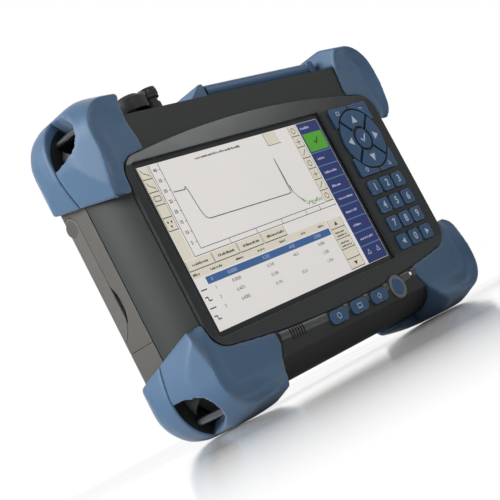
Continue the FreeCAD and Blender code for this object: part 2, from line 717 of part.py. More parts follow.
PIVOT_Y = BACK_Y - STAND_ARM_WIDTH / 2
ARM_INNER_X = BODY_HALF_WIDTH - STAND_THICKNESS
BAR_INNER_Y = BACK_Y - STAND_THICKNESS


def stand_space(grow, wall):
    """Room taken by the stand: two arms and the bar across the back."""
    inner_x = ARM_INNER_X - grow - wall
    outer_x = BODY_HALF_WIDTH + 1 + grow
    arms = [stand_profile(grow + wall, side * inner_x, side * outer_x) for side in (-1, 1)]
    bar = stand_profile(grow + wall, -outer_x, outer_x)
    bar = bar.common(block(-200, 200, BAR_INNER_Y - grow - wall, BACK_Y + 2, 0, STAND_BAR_TOP + grow + wall))
    return arms[0].multiFuse([arms[1], bar])


def pivot_rod(radius, reach_in, reach_out):
    rods = []
    for side in (-1, 1):
        a = side * (BODY_HALF_WIDTH - reach_in)
        b = side * (BODY_HALF_WIDTH - reach_out)
        rods.append(rod_x(PIVOT_Y, STAND_PIVOT_Z, radius, min(a, b), max(a, b)))
    return rods


def kickstand():
    solid = stand_space(0, 0).common(rear_form(0))
    rods = pivot_rod(PIVOT_RADIUS + PIVOT_FIT, 8, -1)
    rods += pivot_rod(PIVOT_HEAD_RADIUS + 0.1, PIVOT_HEAD + 0.1, -1)
    for rod in rods:
        solid = solid.cut(rod)
    return solid.removeSplitter()


def stand_pivots():
    shanks = pivot_rod(PIVOT_RADIUS, STAND_THICKNESS + GAP + 5, PIVOT_HEAD)
    heads = pivot_rod(PIVOT_HEAD_RADIUS, PIVOT_HEAD, 0.1)
    pins = [shank.fuse(head).removeSplitter() for shank, head in zip(shanks, heads)]
    return Part.makeCompound(pins)


def rear_case():
    """Rear half as one moulding, before it is parted at the housing split."""
    form = rear_form(0)
    body = form.cut(rear_form(WALL))
    solids = [stand_space(GAP, WALL)]
    half = PIVOT_RADIUS + 3
    inner_x = ARM_INNER_X - GAP
    for left, right in ((-inner_x, -inner_x + 6), (inner_x - 6, inner_x)):
        solids.append(block(left, right, PIVOT_Y - half, PIVOT_Y + half,
                            STAND_PIVOT_Z - half, STAND_PIVOT_Z + half))
    solids += [square_boss(x, z, SEAM_Y, BACK_Y) for x, z in screw_places()]
    ledge = 3.0
    half_width = DOOR_HALF_WIDTH + ledge
    solids.append(block(-half_width, half_width, BACK_Y - WALL - DOOR_THICKNESS, BACK_Y,
                        DOOR_LOW_Z - ledge, DOOR_HIGH_Z + ledge))
    body = body.multiFuse([s.common(form) for s in solids])
    cuts = [stand_space(GAP, 0)]
    cuts += pivot_rod(PIVOT_RADIUS + PIVOT_FIT, STAND_THICKNESS + GAP + 5.5, -1)
    cuts += [rod_y(x, z, SCREW_RADIUS + GAP, SEAM_Y - 1, BACK_Y + 1) for x, z in screw_places()]
    cuts += [rod_y(x, z, SCREW_HEAD + GAP, BACK_Y - 2.0, BACK_Y + 1) for x, z in screw_places()]
    cuts.append(pad(-DOOR_HALF_WIDTH - GAP, DOOR_HALF_WIDTH + GAP, DOOR_LOW_Z - GAP, DOOR_HIGH_Z + GAP,
                    3.0, BACK_Y - DOOR_THICKNESS - SEAT, BACK_Y + 1))
    cuts.append(pad(-DOOR_HALF_WIDTH + 3, DOOR_HALF_WIDTH - 3, DOOR_LOW_Z + 3, DOOR_HIGH_Z - 3,
                    2.0, SEAM_Y, BACK_Y + 1))
    cuts += thumb_gaps()
    cuts.append(socket_bay())
    cuts.append(block(-200, 200, SEAM_Y - 2, SEAM_Y + GASKET_HALF, -10, 300))
    return body.cut(cuts[0].multiFuse(cuts[1:]))


def thumb_gaps():
    """Scallops beside the stand's arms, for a fingertip."""
    mid = (THUMB_LOW_Z + THUMB_HIGH_Z) / 2
    half = (THUMB_HIGH_Z - THUMB_LOW_Z) / 2
    y_line = BACK_Y - STAND_ARM_WIDTH - GAP
    radius = (half ** 2 + THUMB_DEPTH ** 2) / (2 * THUMB_DEPTH)
    gaps = []
    for side in (-1, 1):
        inner = side * (BODY_HALF_WIDTH - 2.0)
        outer = side * (BODY_HALF_WIDTH + 1)
        disc = rod_x(y_line - THUMB_DEPTH + radius, mid, radius, min(inner, outer), max(inner, outer))
        gaps.append(disc.common(block(-200, 200, 0, y_line + 2, THUMB_LOW_Z, THUMB_HIGH_Z)))
    return gaps


def rear_shell():
    return rear_case().cut(block(-200, 200, -50, 50, -50, HOUSING_SPLIT_Z + GAP / 2))


def battery_housing():
    return rear_case().cut(block(-200, 200, -50, 50, HOUSING_SPLIT_Z - GAP / 2, 300))


def battery_door():
    door = pad(-DOOR_HALF_WIDTH, DOOR_HALF_WIDTH, DOOR_LOW_Z, DOOR_HIGH_Z, 2.7,
               BACK_Y - DOOR_THICKNESS, BACK_Y - 0.1)
    for x in (-DOOR_HALF_WIDTH + 12, 0, DOOR_HALF_WIDTH - 12):
        door = door.cut(block(x - 6, x + 6, BACK_Y - 0.7, BACK_Y + 1, DOOR_HIGH_Z - 7, DOOR_HIGH_Z - 4.5))
    return door


def battery_pack():
    y1 = BACK_Y - DOOR_THICKNESS - SEAT - GAP
    return pad(-DOOR_HALF_WIDTH + 3.6, DOOR_HALF_WIDTH - 3.6, DOOR_LOW_Z + 3.6, DOOR_HIGH_Z - 3.6,
               3.0, SEAM_Y + 2, y1)


def seam_gasket():
    outer = pad(-BODY_HALF_WIDTH + 0.5, BODY_HALF_WIDTH - 0.5, BODY_BOTTOM + 0.5, BODY_TOP - 0.5,
                CORNER_RADIUS - 0.5, SEAM_Y - GASKET_HALF, SEAM_Y + GASKET_HALF)
    inner = pad(-BODY_HALF_WIDTH + WALL, BODY_HALF_WIDTH - WALL, BODY_BOTTOM + WALL, BODY_TOP - WALL,
                CORNER_RADIUS - WALL, SEAM_Y - 1, SEAM_Y + 1)
    return outer.cut(inner).cut(Part.makeCompound(strap_pockets()))


def case_screws():
    """Machine screws, driven from the back into the front shell's bosses."""
    screws = []
    for x, z in screw_places():
        y1 = BACK_Y - 2.0
        shank = rod_y(x, z, SCREW_RADIUS, SEAM_Y - 13, y1 + 0.1)
        head = rod_y(x, z, SCREW_HEAD, y1, y1 + 1.8)
        screws.append(shank.fuse(head).removeSplitter())
    return Part.makeCompound(screws)


# ------------------------------------------------------------------ ports
def optical_module():
    """Sealed optics block in the rear, with a neck under the two ports."""
    top = BODY_TOP - 22.3
    body = pad(-90, 40, top - 54, top, 2, SEAM_Y + 2.4, BACK_Y - WALL - GAP)
    neck = block(PORT_A_X - 8, PORT_B_X + 8, PORT_Y - 6.5, SEAM_Y + 6, top - 4, PORT_DECK_Z - WALL - GAP)
    neck = neck.cut(block(-200, 200, -50, SEAM_Y + 2.4, 0, top - 2))
    solid = body.fuse(neck).removeSplitter()
    for x in (PORT_A_X, PORT_B_X):
        solid = solid.cut(rod_z(x, PORT_Y, PORT_BARREL + 0.6, PORT_DECK_Z - 12, PORT_DECK_Z))
    return solid


def port_deck(z1):
    """Sunk deck round the two optical ports."""
    return block(PORT_A_X - 8, PORT_B_X + 6.6, PORT_Y - 6.8, PORT_Y + 6.8, PORT_DECK_Z, z1)


def optical_port(x):
    """Bulkhead adapter: square flange, threaded barrel, ceramic sleeve bore."""
    flange = block(x - 6.3, x + 6.3, PORT_Y - 6.3, PORT_Y + 6.3, PORT_DECK_Z, PORT_DECK_Z + 1.4)
    barrel = rod_z(x, PORT_Y, PORT_BARREL, PORT_DECK_Z - 9, PORT_TOP_Z)
    throat = rod_z(x, PORT_Y, 2.6, PORT_TOP_Z - 3.0, PORT_TOP_Z + 1)
    solid = flange.fuse(barrel).cut(throat)
    return solid.cut(rod_z(x, PORT_Y, FERRULE_BORE, PORT_TOP_Z - FERRULE_DEPTH, PORT_TOP_Z + 1))


def revolved(points, x, y):
    """Solid of revolution about a vertical line through (x, y)."""
    wire = wire_of([(x + r, y, z) for r, z in points])
    return Part.Face(wire).revolve(V(x, y, 0), V(0, 0, 1), 360)


def flip_lugs():
    """Two lugs for the flip cap's pin; sloped shoulders let the cap swing past them."""
    front = FLIP_HINGE_Y - 1.4
    back = SEAM_Y - GASKET_HALF
    top = FLIP_HINGE_Z + 1.3
    lugs = []
    for x in (PORT_A_X - 5.4, PORT_A_X + 3.4):
        profile = wire_of([(x, front, BODY_TOP - 1), (x, front, FLIP_HINGE_Z + 0.4),
                           (x, FLIP_HINGE_Y - 0.5, top), (x, back, top), (x, back, BODY_TOP - 1)])
        lugs.append(Part.Face(profile).extrude(V(2, 0, 0)))
    return lugs


def flip_cap():
    """Domed dust cap on a hinge behind the port."""
    base = BODY_TOP + GAP
    outer = [(0, base), (FLIP_RADIUS, base), (FLIP_RADIUS, FLIP_TOP_Z - 2.6),
             (FLIP_RADIUS - 3.6, FLIP_TOP_Z), (0, FLIP_TOP_Z)]
    bore = rod_z(PORT_A_X, PORT_Y, FLIP_RADIUS - 1.5, base - 1, FLIP_TOP_Z - 4.0)
    shell = revolved(outer, PORT_A_X, PORT_Y).cut(bore)
    tab = block(PORT_A_X - 3.1, PORT_A_X + 3.1, PORT_Y + FLIP_RADIUS - 1.0, FLIP_HINGE_Y,
                FLIP_HINGE_Z - 1.3, FLIP_HINGE_Z + 1.3)
    knuckle = rod_x(FLIP_HINGE_Y, FLIP_HINGE_Z, 1.3, PORT_A_X - 3.1, PORT_A_X + 3.1)
    solid = fused([shell, tab, knuckle])
    return solid.cut(rod_x(FLIP_HINGE_Y, FLIP_HINGE_Z, FLIP_PIN + PIVOT_FIT, PORT_A_X - 9, PORT_A_X + 9))


def flip_pin():
    return rod_x(FLIP_HINGE_Y, FLIP_HINGE_Z, FLIP_PIN, PORT_A_X - 5.8, PORT_A_X + 10.2)


def plug_cap():
    """Tall push-on dust cap with a waisted grip."""
    base = PORT_DECK_Z + 1.4 + GAP
    top = PLUG_TOP_Z
    r = PLUG_RADIUS
    outer = [(0, base), (r - 0.6, base), (r - 0.6, base + 5), (r - 1.4, base + 5), (r - 1.4, base + 8),
             (r, base + 8), (r, top), (0, top)]
    solid = revolved(outer, PORT_B_X, PORT_Y)
    return solid.cut(rod_z(PORT_B_X, PORT_Y, PORT_BARREL + PIVOT_FIT, base - 1, PORT_TOP_Z + GAP))


def cover_trough():
    """Room for the cover's barrel in the front shell."""
    return rod_x(COVER_HINGE_Y, COVER_HINGE_Z, COVER_BARREL + GAP, COVER_LEFT - EAR_GAP - 1, COVER_RIGHT + 1)


def socket_bay():
    """Opening in the top of the rear shell for the socket carrier."""
    return block(BAY_LEFT, BAY_RIGHT, SEAM_Y, BAY_BACK_Y, SOCKET_BOTTOM_Z, BODY_TOP + 1)


def port_cover():
    """Lid over the sockets: hinge barrel in front, skin, and lips round the bay."""
    x0, x1 = COVER_LEFT, COVER_RIGHT
    top = COVER_HINGE_Z + COVER_BARREL
    base = BODY_TOP + GAP
    skin = block(x0, x1, COVER_HINGE_Y, COVER_BACK_Y, top - COVER_SKIN, top)
    rear = block(x0, x1, COVER_BACK_Y - COVER_SKIN, COVER_BACK_Y, base, top)
    ends = [block(x, x + COVER_SKIN, COVER_HINGE_Y, COVER_BACK_Y, base, top) for x in (x0, x1 - COVER_SKIN)]
    shell = fused([skin, rear] + ends)
    back = edges_at(shell, lambda p: abs(p.y - COVER_BACK_Y) < 0.01 and abs(p.z - top) < 0.01)
    shell = shell.makeFillet(1.8, back)
    barrel = rod_x(COVER_HINGE_Y, COVER_HINGE_Z, COVER_BARREL, x0, x1)
    solid = shell.fuse(barrel).removeSplitter()
    return solid.cut(rod_x(COVER_HINGE_Y, COVER_HINGE_Z, COVER_PIN_RADIUS + PIVOT_FIT, x0 - 1, x1 + 1))


def cover_pin():
    left = COVER_LEFT - EAR_GAP - 5
    return rod_x(COVER_HINGE_Y, COVER_HINGE_Z, COVER_PIN_RADIUS, left, COVER_RIGHT + GAP + 4)


def cover_ears():
    """Fixed ears that hold the cover's pin; the left one slopes away."""
    top = COVER_HINGE_Z + COVER_BARREL
    base = BODY_TOP - 0.6
    front = COVER_HINGE_Y - COVER_BARREL
    x_in = COVER_LEFT - EAR_GAP
    profile = wire_of([(EAR_LEFT_X, front, base), (EAR_LEFT_X, front, base + 1.2), (x_in - 3, front, top),
                       (x_in, front, top), (x_in, front, base)])
    left = prism(profile, COVER_BACK_Y - front)
    x_out = COVER_RIGHT + GAP
    right = block(x_out, x_out + EAR_RIGHT_WIDTH, front, COVER_BACK_Y, base, top)
    lid = edges_at(right, lambda p: abs(p.z - top) < 0.01)
    right = right.makeFillet(1.5, lid[:1] + lid[1:2])
    case = front_form(0).fuse(rear_form(0))
    pin = rod_x(COVER_HINGE_Y, COVER_HINGE_Z, COVER_PIN_RADIUS, x_in - 5, x_out + 4)
    return Part.makeCompound([ear.cut(case).cut(pin) for ear in (left, right)])


def port_block():
    """Socket carrier: two USB, one network, one power and one headset socket."""
    solid = block(BAY_LEFT + GAP, BAY_RIGHT - GAP, BAY_FRONT_Y + GAP, BAY_BACK_Y - GAP,
                  SOCKET_BOTTOM_Z + GAP, SOCKET_TOP_Z)
    mid = (BAY_FRONT_Y + BAY_BACK_Y) / 2
    low = SOCKET_TOP_Z - SOCKET_DEPTH
    high = SOCKET_TOP_Z + 1
    for x, w, d in ((5, 13.2, 5.6), (23, 13.2, 5.6), (43, 12.0, 9.0)):
        solid = solid.cut(block(x - w / 2, x + w / 2, mid - d / 2, mid + d / 2, low, high))
    solid = solid.cut(rod_z(60, mid, 3.2, low, high).cut(rod_z(60, mid, 1.0, low, high - 2)))
    return solid.cut(rod_z(71, mid, 1.8, low, high))


# ---------------------------------------------------------------- bumpers
# Built on the left side; sign is 1 for the upper ones and -1 for the lower.
OUTER_X = BODY_HALF_WIDTH + BUMPER_SIDE


def outer_z(sign):
    return BODY_TOP + BUMPER_TOP if sign > 0 else BODY_BOTTOM - BUMPER_BOTTOM


def housing_corner(sign):
    z = BODY_TOP - CORNER_RADIUS if sign > 0 else BODY_BOTTOM + CORNER_RADIUS
    return V(CORNER_RADIUS - BODY_HALF_WIDTH, 0, z)


def tail_z(sign):
    """Height of a bumper's end on the side, at the front face."""
    return BODY_TOP - TAIL_TOP if sign > 0 else BODY_BOTTOM + TAIL_LOW


def front_section(place, reach):
    """Hollowed front, ridge, flank and outer roll; place takes depth in and y."""
    lean = radians(FLANK_LEAN)
    roll_y = RIDGE_DEPTH / tan(lean) + BUMPER_RIDGE_Y + FLANK_ROLL * tan(lean / 2)
    back = SEAM_Y - GAP / 2
    profile = [(0, back), (reach, back), (reach, BUMPER_TIP_Y), (SCOOP_DEPTH, BUMPER_TIP_Y),
               (SCOOP_MID_DEPTH, SCOOP_MID_Y), (RIDGE_DEPTH, BUMPER_RIDGE_Y)]
    for turn in (lean, lean / 2, 0):
        profile.append((FLANK_ROLL * (1 - cos(turn)), roll_y - FLANK_ROLL * sin(turn)))
    return Part.Face(wire_of([place(*p) for p in profile]))


def rear_section(place, reach):
    """Straight wall that rolls over to the flat back."""
    roll = BUMPER_BACK_Y - BACK_ROLL_Y
    r = roll_radius(BACK_ROLL_DEPTH, roll)
    front = SEAM_Y + GAP / 2
    profile = [(reach, BUMPER_BACK_Y), (reach, front), (0, front)]
    for i in range(BACK_ROLL_FACETS + 1):
        turn = asin(roll / r) * i / BACK_ROLL_FACETS
        profile.append((r * (1 - cos(turn)), BACK_ROLL_Y + r * sin(turn)))
    return Part.Face(wire_of([place(*p) for p in profile]))


def wrapped(section, sign, side_reach, level_reach, inner_x):
    """A section run up the side, turned round the corner and run along the edge."""
    axis = V(BUMPER_CORNER - OUTER_X, 0, outer_z(sign) - sign * BUMPER_CORNER)
    tail = tail_z(sign) - sign * 10

    def beside(depth, y):
        return V(depth - OUTER_X, y, axis.z)

    def along(depth, y):
        return V(axis.x, y, outer_z(sign) - sign * depth)

    side = section(beside, side_reach).extrude(V(0, 0, tail - axis.z))
    turn = section(beside, BUMPER_CORNER).revolve(axis, V(0, sign, 0), 90)
    level = section(along, level_reach).extrude(V(-inner_x - axis.x, 0, 0))
    return fused([turn, side, level])


def taper(place, run, end, start, low, high):
    """Cutter that brings an outer face down from high to low towards its end."""
    drop = high - low
    mid = high - TAPER_BULGE * drop
    above = high + (10 if drop > 0 else -10)
    beyond = 2 * end - start
    corners = [place(start, high), place(start, above), place(beyond, above)]
    corners += [place(beyond, low), place(end, low)]
    edges = [Part.LineSegment(a, b).toShape() for a, b in zip(corners, corners[1:])]
    edges.append(Part.Arc(corners[-1], place((start + end) / 2, mid), corners[0]).toShape())
    return Part.Face(Part.Wire(edges)).extrude(run)


def side_tapers(sign):
    """Thinning of a bumper's tail, seen from the front and from the side."""
    end = tail_z(sign)
    start = end + sign * TAIL_RUN
    through = V(0, 200, 0)
    across = V(60, 0, 0)
    return [taper(lambda z, h: V(-h, -100, z), through, end, start, BODY_HALF_WIDTH + TAIL_END, OUTER_X),
            taper(lambda z, y: V(-OUTER_X - 12, y, z), across, end, start, TAIL_Y, BUMPER_RIDGE_Y)]


def level_tapers(sign, inner_x):
    """Thinning of a bumper's inner end, seen from the front and from above."""
    thick = TOP_END if sign > 0 else LOW_END
    end_z = BODY_TOP + thick if sign > 0 else BODY_BOTTOM - thick
    start = inner_x + (TOP_RUN if sign > 0 else LOW_RUN)
    end_y = TOP_END_Y if sign > 0 else LOW_END_Y
    return [taper(lambda x, z: V(-x, -100, z), V(0, 200, 0), inner_x, start, end_z, outer_z(sign)),
            taper(lambda x, y: V(-x, y, -20), V(0, 0, 240), inner_x, start, end_y, BUMPER_RIDGE_Y)]


def slanted_end(sign):
    """Everything past the slanted end of a bumper's tail."""
    lean = LEAN_TOP if sign > 0 else -LEAN_LOW
    x = -OUTER_X - 12
    profile = []
    for y in (-60, 60):
        profile.append((x, y, tail_z(sign) + lean * (y - FACE_Y)))
    profile += [(x, 60, tail_z(sign) - sign * 60), (x, -60, tail_z(sign) - sign * 60)]
    return Part.Face(wire_of(profile)).extrude(V(60, 0, 0))


def strap_pocket(sign, side):
    """Almond opening through the outer corner, down past the strap bar."""
    out = V(-1, 0, sign) * sqrt(0.5)
    along = V(-1, 0, -sign) * sqrt(0.5)
    base = housing_corner(sign) + out * STRAP_POCKET_REACH

    def at(across, y):
        return base + along * across + V(0, y, 0)

    edges = [
        Part.Arc(at(-9.5, SEAM_Y), at(-5.4, -9.5), at(3.5, -16)).toShape(),
        Part.Arc(at(3.5, -16), at(8.4, -14.4), at(8.6, -9)).toShape(),
        Part.Arc(at(8.6, -9), at(6.2, -2.6), at(1.5, SEAM_Y)).toShape(),
        Part.LineSegment(at(1.5, SEAM_Y), at(-9.5, SEAM_Y)).toShape(),
    ]
    pocket = Part.Face(Part.Wire(edges)).extrude(out * 24)
    return pocket if side < 0 else mirror_x(pocket)


def strap_pockets():
    return [strap_pocket(sign, side) for sign in (1, -1) for side in (-1, 1)]


def strap_bar(sign, grow):
    centre = housing_corner(sign) + V(-1, 0, sign) * sqrt(0.5) * STRAP_BAR_REACH
    return rod_y(centre.x, centre.z, STRAP_BAR_RADIUS + grow, -20, 10)


def front_trim(sign):
    """What the front view outline takes off a front bumper."""
    if sign > 0:
        edge = [(-TOP_TIP_X, -60, TOP_TIP_Z), (-TOP_EDGE_X, -60, outer_z(1) + 5), (0, -60, outer_z(1) + 5),
                (0, -60, TOP_TIP_Z)]
    else:
        edge = [(-LOW_TIP_X, -60, LOW_TIP_Z + 12), (-LOW_TIP_X, -60, LOW_TIP_Z), (-low_edge_x(-5), -60, -5),
                (0, -60, -5), (0, -60, LOW_TIP_Z + 12)]
    return [prism(wire_of(edge), 60 + SEAM_Y), prism(bezel_outline(GAP, -60), 60 + FACE_Y + 3)]


def front_bumper(sign):
    inner_x = TOP_TIP_X if sign > 0 else LOW_TIP_X
    solid = wrapped(front_section, sign, BUMPER_CORNER, OVER_FACE, inner_x)
    cuts = side_tapers(sign) + level_tapers(sign, inner_x) + front_trim(sign)
    cuts += [slanted_end(sign), front_form(0), strap_pocket(sign, -1), strap_bar(sign, PIVOT_FIT)]
    for cut in cuts:
        solid = solid.cut(cut)
    return max(solid.Solids, key=lambda s: s.Volume)


def rear_bumper(sign):
    inner_x = REAR_TOP_X if sign > 0 else REAR_LOW_X
    solid = wrapped(rear_section, sign, OVER_BACK, OVER_BACK, inner_x)
    cuts = side_tapers(sign)[:1] + level_tapers(sign, inner_x)[:1]
    cuts += [slanted_end(sign), rear_form(0), strap_bar(sign, PIVOT_FIT)]
    for cut in cuts:
        solid = solid.cut(cut)
    return max(solid.Solids, key=lambda s: s.Volume)


# ------------------------------------------------------------------ build
def build():
    nodes = {
        "front_shell": front_shell(),
        "bezel_frame": bezel_frame(),
        "rear_shell": rear_shell(),
        "battery_housing": battery_housing(),
        "battery_door": battery_door(),
        "battery_pack": battery_pack(),
        "seam_gasket": seam_gasket(),
        "case_screws": case_screws(),
        "touch_glass": touch_glass(),
        "display_panel": display_panel(),
        "keypad_mat": keypad_mat(),
        "key_board": key_board(),
        "power_ring": power_ring(),
        "status_lens": status_lens(),
        "speaker": speaker(),
        "main_board": main_board(),
        "kickstand": kickstand(),
        "stand_pivots": stand_pivots(),
        "optical_module": optical_module(),
        "optical_ports": Part.makeCompound([optical_port(PORT_A_X), optical_port(PORT_B_X)]),
        "flip_cap": flip_cap(),
        "plug_cap": plug_cap(),
        "port_cover": port_cover(),
        "hinge_pins": Part.makeCompound([flip_pin(), cover_pin()]),
        "cover_ears": cover_ears(),
        "port_block": port_block(),
    }
    top_y = BEZEL_Y - KEY_PROUD
    for name, shape in key_shapes().items():
        if "number" in name:
            nodes[name] = softened(key(shape, top_y, FACE_Y, square_flange(shape, KEY_FLANGE)), top_y)
        else:
            nodes[name] = key(shape, top_y, FACE_Y, shape(KEY_FLANGE))
    for name, shape in lower_buttons().items():
        nodes[name] = key(shape, CHIN_Y - KEY_PROUD, INNER_FACE_Y, square_flange(shape, BUTTON_FLANGE))
    bars = []
    for sign, level in ((1, "top"), (-1, "low")):
        nodes["%s_front_bumpers" % level] = both_sides(front_bumper(sign))
        nodes["%s_rear_bumpers" % level] = both_sides(rear_bumper(sign))
        bars.append(both_sides(strap_bar(sign, 0)))
    nodes["strap_bars"] = Part.makeCompound(bars)
    return nodes


for node_name, node_shape in build().items():
    save(node_name, node_shape)
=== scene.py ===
"""Looks of a handheld optical time domain reflectometer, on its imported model.

Metres.  +Z up, the screen faces -Y, and the instrument stands on its lower
corner bumpers on a white studio floor.
"""
import math
import random

import bmesh
import bpy
from mathutils import Matrix, Vector


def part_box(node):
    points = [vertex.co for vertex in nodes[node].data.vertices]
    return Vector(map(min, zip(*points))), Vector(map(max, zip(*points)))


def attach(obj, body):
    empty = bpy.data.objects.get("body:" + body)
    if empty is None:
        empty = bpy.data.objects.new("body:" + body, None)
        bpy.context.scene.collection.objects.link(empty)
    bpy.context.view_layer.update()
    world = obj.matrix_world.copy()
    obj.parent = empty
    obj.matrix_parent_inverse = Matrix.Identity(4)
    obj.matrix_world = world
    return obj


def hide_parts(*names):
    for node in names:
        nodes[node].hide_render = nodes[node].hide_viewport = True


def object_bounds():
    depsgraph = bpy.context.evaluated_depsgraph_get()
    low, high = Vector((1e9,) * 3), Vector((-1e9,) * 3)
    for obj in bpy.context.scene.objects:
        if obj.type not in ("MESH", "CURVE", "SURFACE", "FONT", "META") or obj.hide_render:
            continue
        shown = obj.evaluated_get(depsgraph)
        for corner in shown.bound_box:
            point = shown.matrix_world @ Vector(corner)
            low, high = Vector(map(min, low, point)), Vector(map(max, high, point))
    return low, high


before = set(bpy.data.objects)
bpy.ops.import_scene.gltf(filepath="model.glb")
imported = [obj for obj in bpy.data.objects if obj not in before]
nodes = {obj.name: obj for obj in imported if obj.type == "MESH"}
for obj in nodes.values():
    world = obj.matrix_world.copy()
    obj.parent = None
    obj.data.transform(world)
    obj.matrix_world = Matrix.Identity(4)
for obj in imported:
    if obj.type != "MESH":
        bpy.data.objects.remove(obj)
cad_low, cad_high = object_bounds()

# ---------------------------------------------------------------- camera
# A long lens, low down at the left of the screen and turned on its side
# by about a third of a right angle, so that the instrument seems to lean.
heading = math.radians(48.03)
climb = math.radians(5.68)
lean = math.radians(27.54)
ahead = Vector((math.sin(heading) * math.cos(climb),
                math.cos(heading) * math.cos(climb),
                math.sin(climb)))
across = ahead.cross(Vector((0, 0, 1))).normalized()
down = ahead.cross(across)
frame_right = across * math.cos(lean) + down * math.sin(lean)
frame_down = down * math.cos(lean) - across * math.sin(lean)
camera = bpy.data.objects.new("camera", bpy.data.cameras.new("camera"))
camera.data.lens = 86.1
stand_point = (-0.51489, -0.43669, 0.0155)
camera.matrix_world = Matrix((
    (frame_right.x, -frame_down.x, -ahead.x, stand_point[0]),
    (frame_right.y, -frame_down.y, -ahead.y, stand_point[1]),
    (frame_right.z, -frame_down.z, -ahead.z, stand_point[2]),
    (0, 0, 0, 1),
))
bpy.context.scene.collection.objects.link(camera)
bpy.context.scene.camera = camera
bpy.context.scene.view_settings.view_transform = "Standard"

# -------------------------------------------------------- floor and light
# Seamless polished white table that mirrors the instrument faintly and goes
# over into the white of the room.  A large soft box hangs at the left, a
# small one at the right, and a large weak one in front.


def add(tree, kind, sockets=(), **settings):
    """Adds a shader node; sockets gives its inputs, as numbers or as other nodes' outputs."""
    made = tree.nodes.new("ShaderNode" + kind)
    for setting, value in settings.items():
        setattr(made, setting, value)
    for socket, value in dict(sockets).items():
        if isinstance(value, bpy.types.NodeSocket):
            tree.links.new(value, made.inputs[socket])
        else:
            made.inputs[socket].default_value = value
    return made


def new_material(name):
    """Material with its shader tree and its main shader."""
    material = bpy.data.materials.new(name)
    material.use_nodes = True
    return material, material.node_tree, material.node_tree.nodes["Principled BSDF"]


TABLE_RADIUS = 12
TABLE_TOP = -0.0002
table = bpy.data.meshes.new("studio_table")
rim = [(TABLE_RADIUS * math.cos(i * math.pi / 48),
        TABLE_RADIUS * math.sin(i * math.pi / 48),
        TABLE_TOP) for i in range(96)]
table.from_pydata(rim, [], [list(range(96))])
floor = bpy.data.objects.new("studio_table", table)
bpy.context.scene.collection.objects.link(floor)
white_table, tree, polish = new_material("white_table")
polish.inputs["Base Color"].default_value = (0.85, 0.84, 0.83, 1)
spot = add(tree, "TexCoord")
mottle = add(tree, "TexNoise", {"Vector": spot.outputs["Object"], "Scale": 9.0, "Detail": 3.0})
matt = add(tree, "MapRange", {"Value": mottle.outputs["Fac"], "To Min": 0.07, "To Max": 0.11})
tree.links.new(matt.outputs["Result"], polish.inputs["Roughness"])
far = add(tree, "VectorMath", {0: spot.outputs["Object"]}, operation="LENGTH")
fade = add(tree, "MapRange", {
    "Value": far.outputs["Value"], "From Min": 0.24, "From Max": 0.5})
ray = add(tree, "LightPath")
seen = add(tree, "Math", {
    0: ray.outputs["Is Camera Ray"], 1: fade.outputs["Result"]}, operation="MULTIPLY")
bright = add(tree, "Emission", {"Color": (1, 1, 1, 1), "Strength": 1.0})
blend = add(tree, "MixShader", {
    0: seen.outputs["Value"], 1: polish.outputs["BSDF"], 2: bright.outputs["Emission"]})
tree.links.new(blend.outputs["Shader"], tree.nodes["Material Output"].inputs["Surface"])
table.materials.append(white_table)

room = bpy.data.worlds.new("white_room")
bpy.context.scene.world = room
room.use_nodes = True
tree = room.node_tree
spot = add(tree, "TexCoord")
behind_object = (0.74, 0.67, 0)
toward = add(tree, "VectorMath", {
    0: spot.outputs["Generated"], 1: behind_object}, operation="DOT_PRODUCT")
backdrop = add(tree, "MapRange", {
    "Value": toward.outputs["Value"], "From Min": 0.55, "From Max": 0.8})
ray = add(tree, "LightPath")
mirrored = add(tree, "Math", {
    0: ray.outputs["Is Glossy Ray"], 1: backdrop.outputs["Result"]}, operation="MULTIPLY")
direct = add(tree, "Math", {
    0: ray.outputs["Is Camera Ray"], 1: mirrored.outputs["Value"]}, operation="MAXIMUM")
level = add(tree, "MapRange", {"Value": direct.outputs["Value"], "To Min": 0.26, "To Max": 1.0})
tree.nodes["Background"].inputs["Color"].default_value = (1, 1, 1, 1)
tree.links.new(level.outputs["Result"], tree.nodes["Background"].inputs["Strength"])

# place in the room, width and power of each soft box
soft_boxes = {
    "soft_box_left": ((-1.2, 0.3, 0.8), 0.8, 23.5),
    "soft_box_front": ((-0.2, -1.5, 0.9), 0.8, 4.5),
    "soft_box_right": ((0.88, -0.79, 0.74), 0.35, 1.7),
}
AIM = Vector((0, 0, 0.08))
for name, (place, width, power) in soft_boxes.items():
    lamp = bpy.data.lights.new(name, "AREA")
    lamp.size = width
    lamp.energy = power
    box = bpy.data.objects.new(name, lamp)
    box.location = place
    box.rotation_euler = (AIM - box.location).to_track_quat("-Z", "Y").to_euler()
    bpy.context.scene.collection.objects.link(box)

# --------------------------------------------------------- housing shells
# Front shell, rear shell and battery housing: injection-moulded dark grey
# polycarbonate with a fine spark-eroded grain, screwed together.


def colour(code):
    """Linear colour of a six-digit screen colour."""
    parts = [int(code[i:i + 2], 16) / 255 for i in (0, 2, 4)]
    return [p / 12.92 if p <= 0.04045 else ((p + 0.055) / 1.055) ** 2.4 for p in parts] + [1.0]


def shade(code, share):
    """Colour of a code, made darker or lighter by a share."""
    return [part * share for part in colour(code)[:3]] + [1]


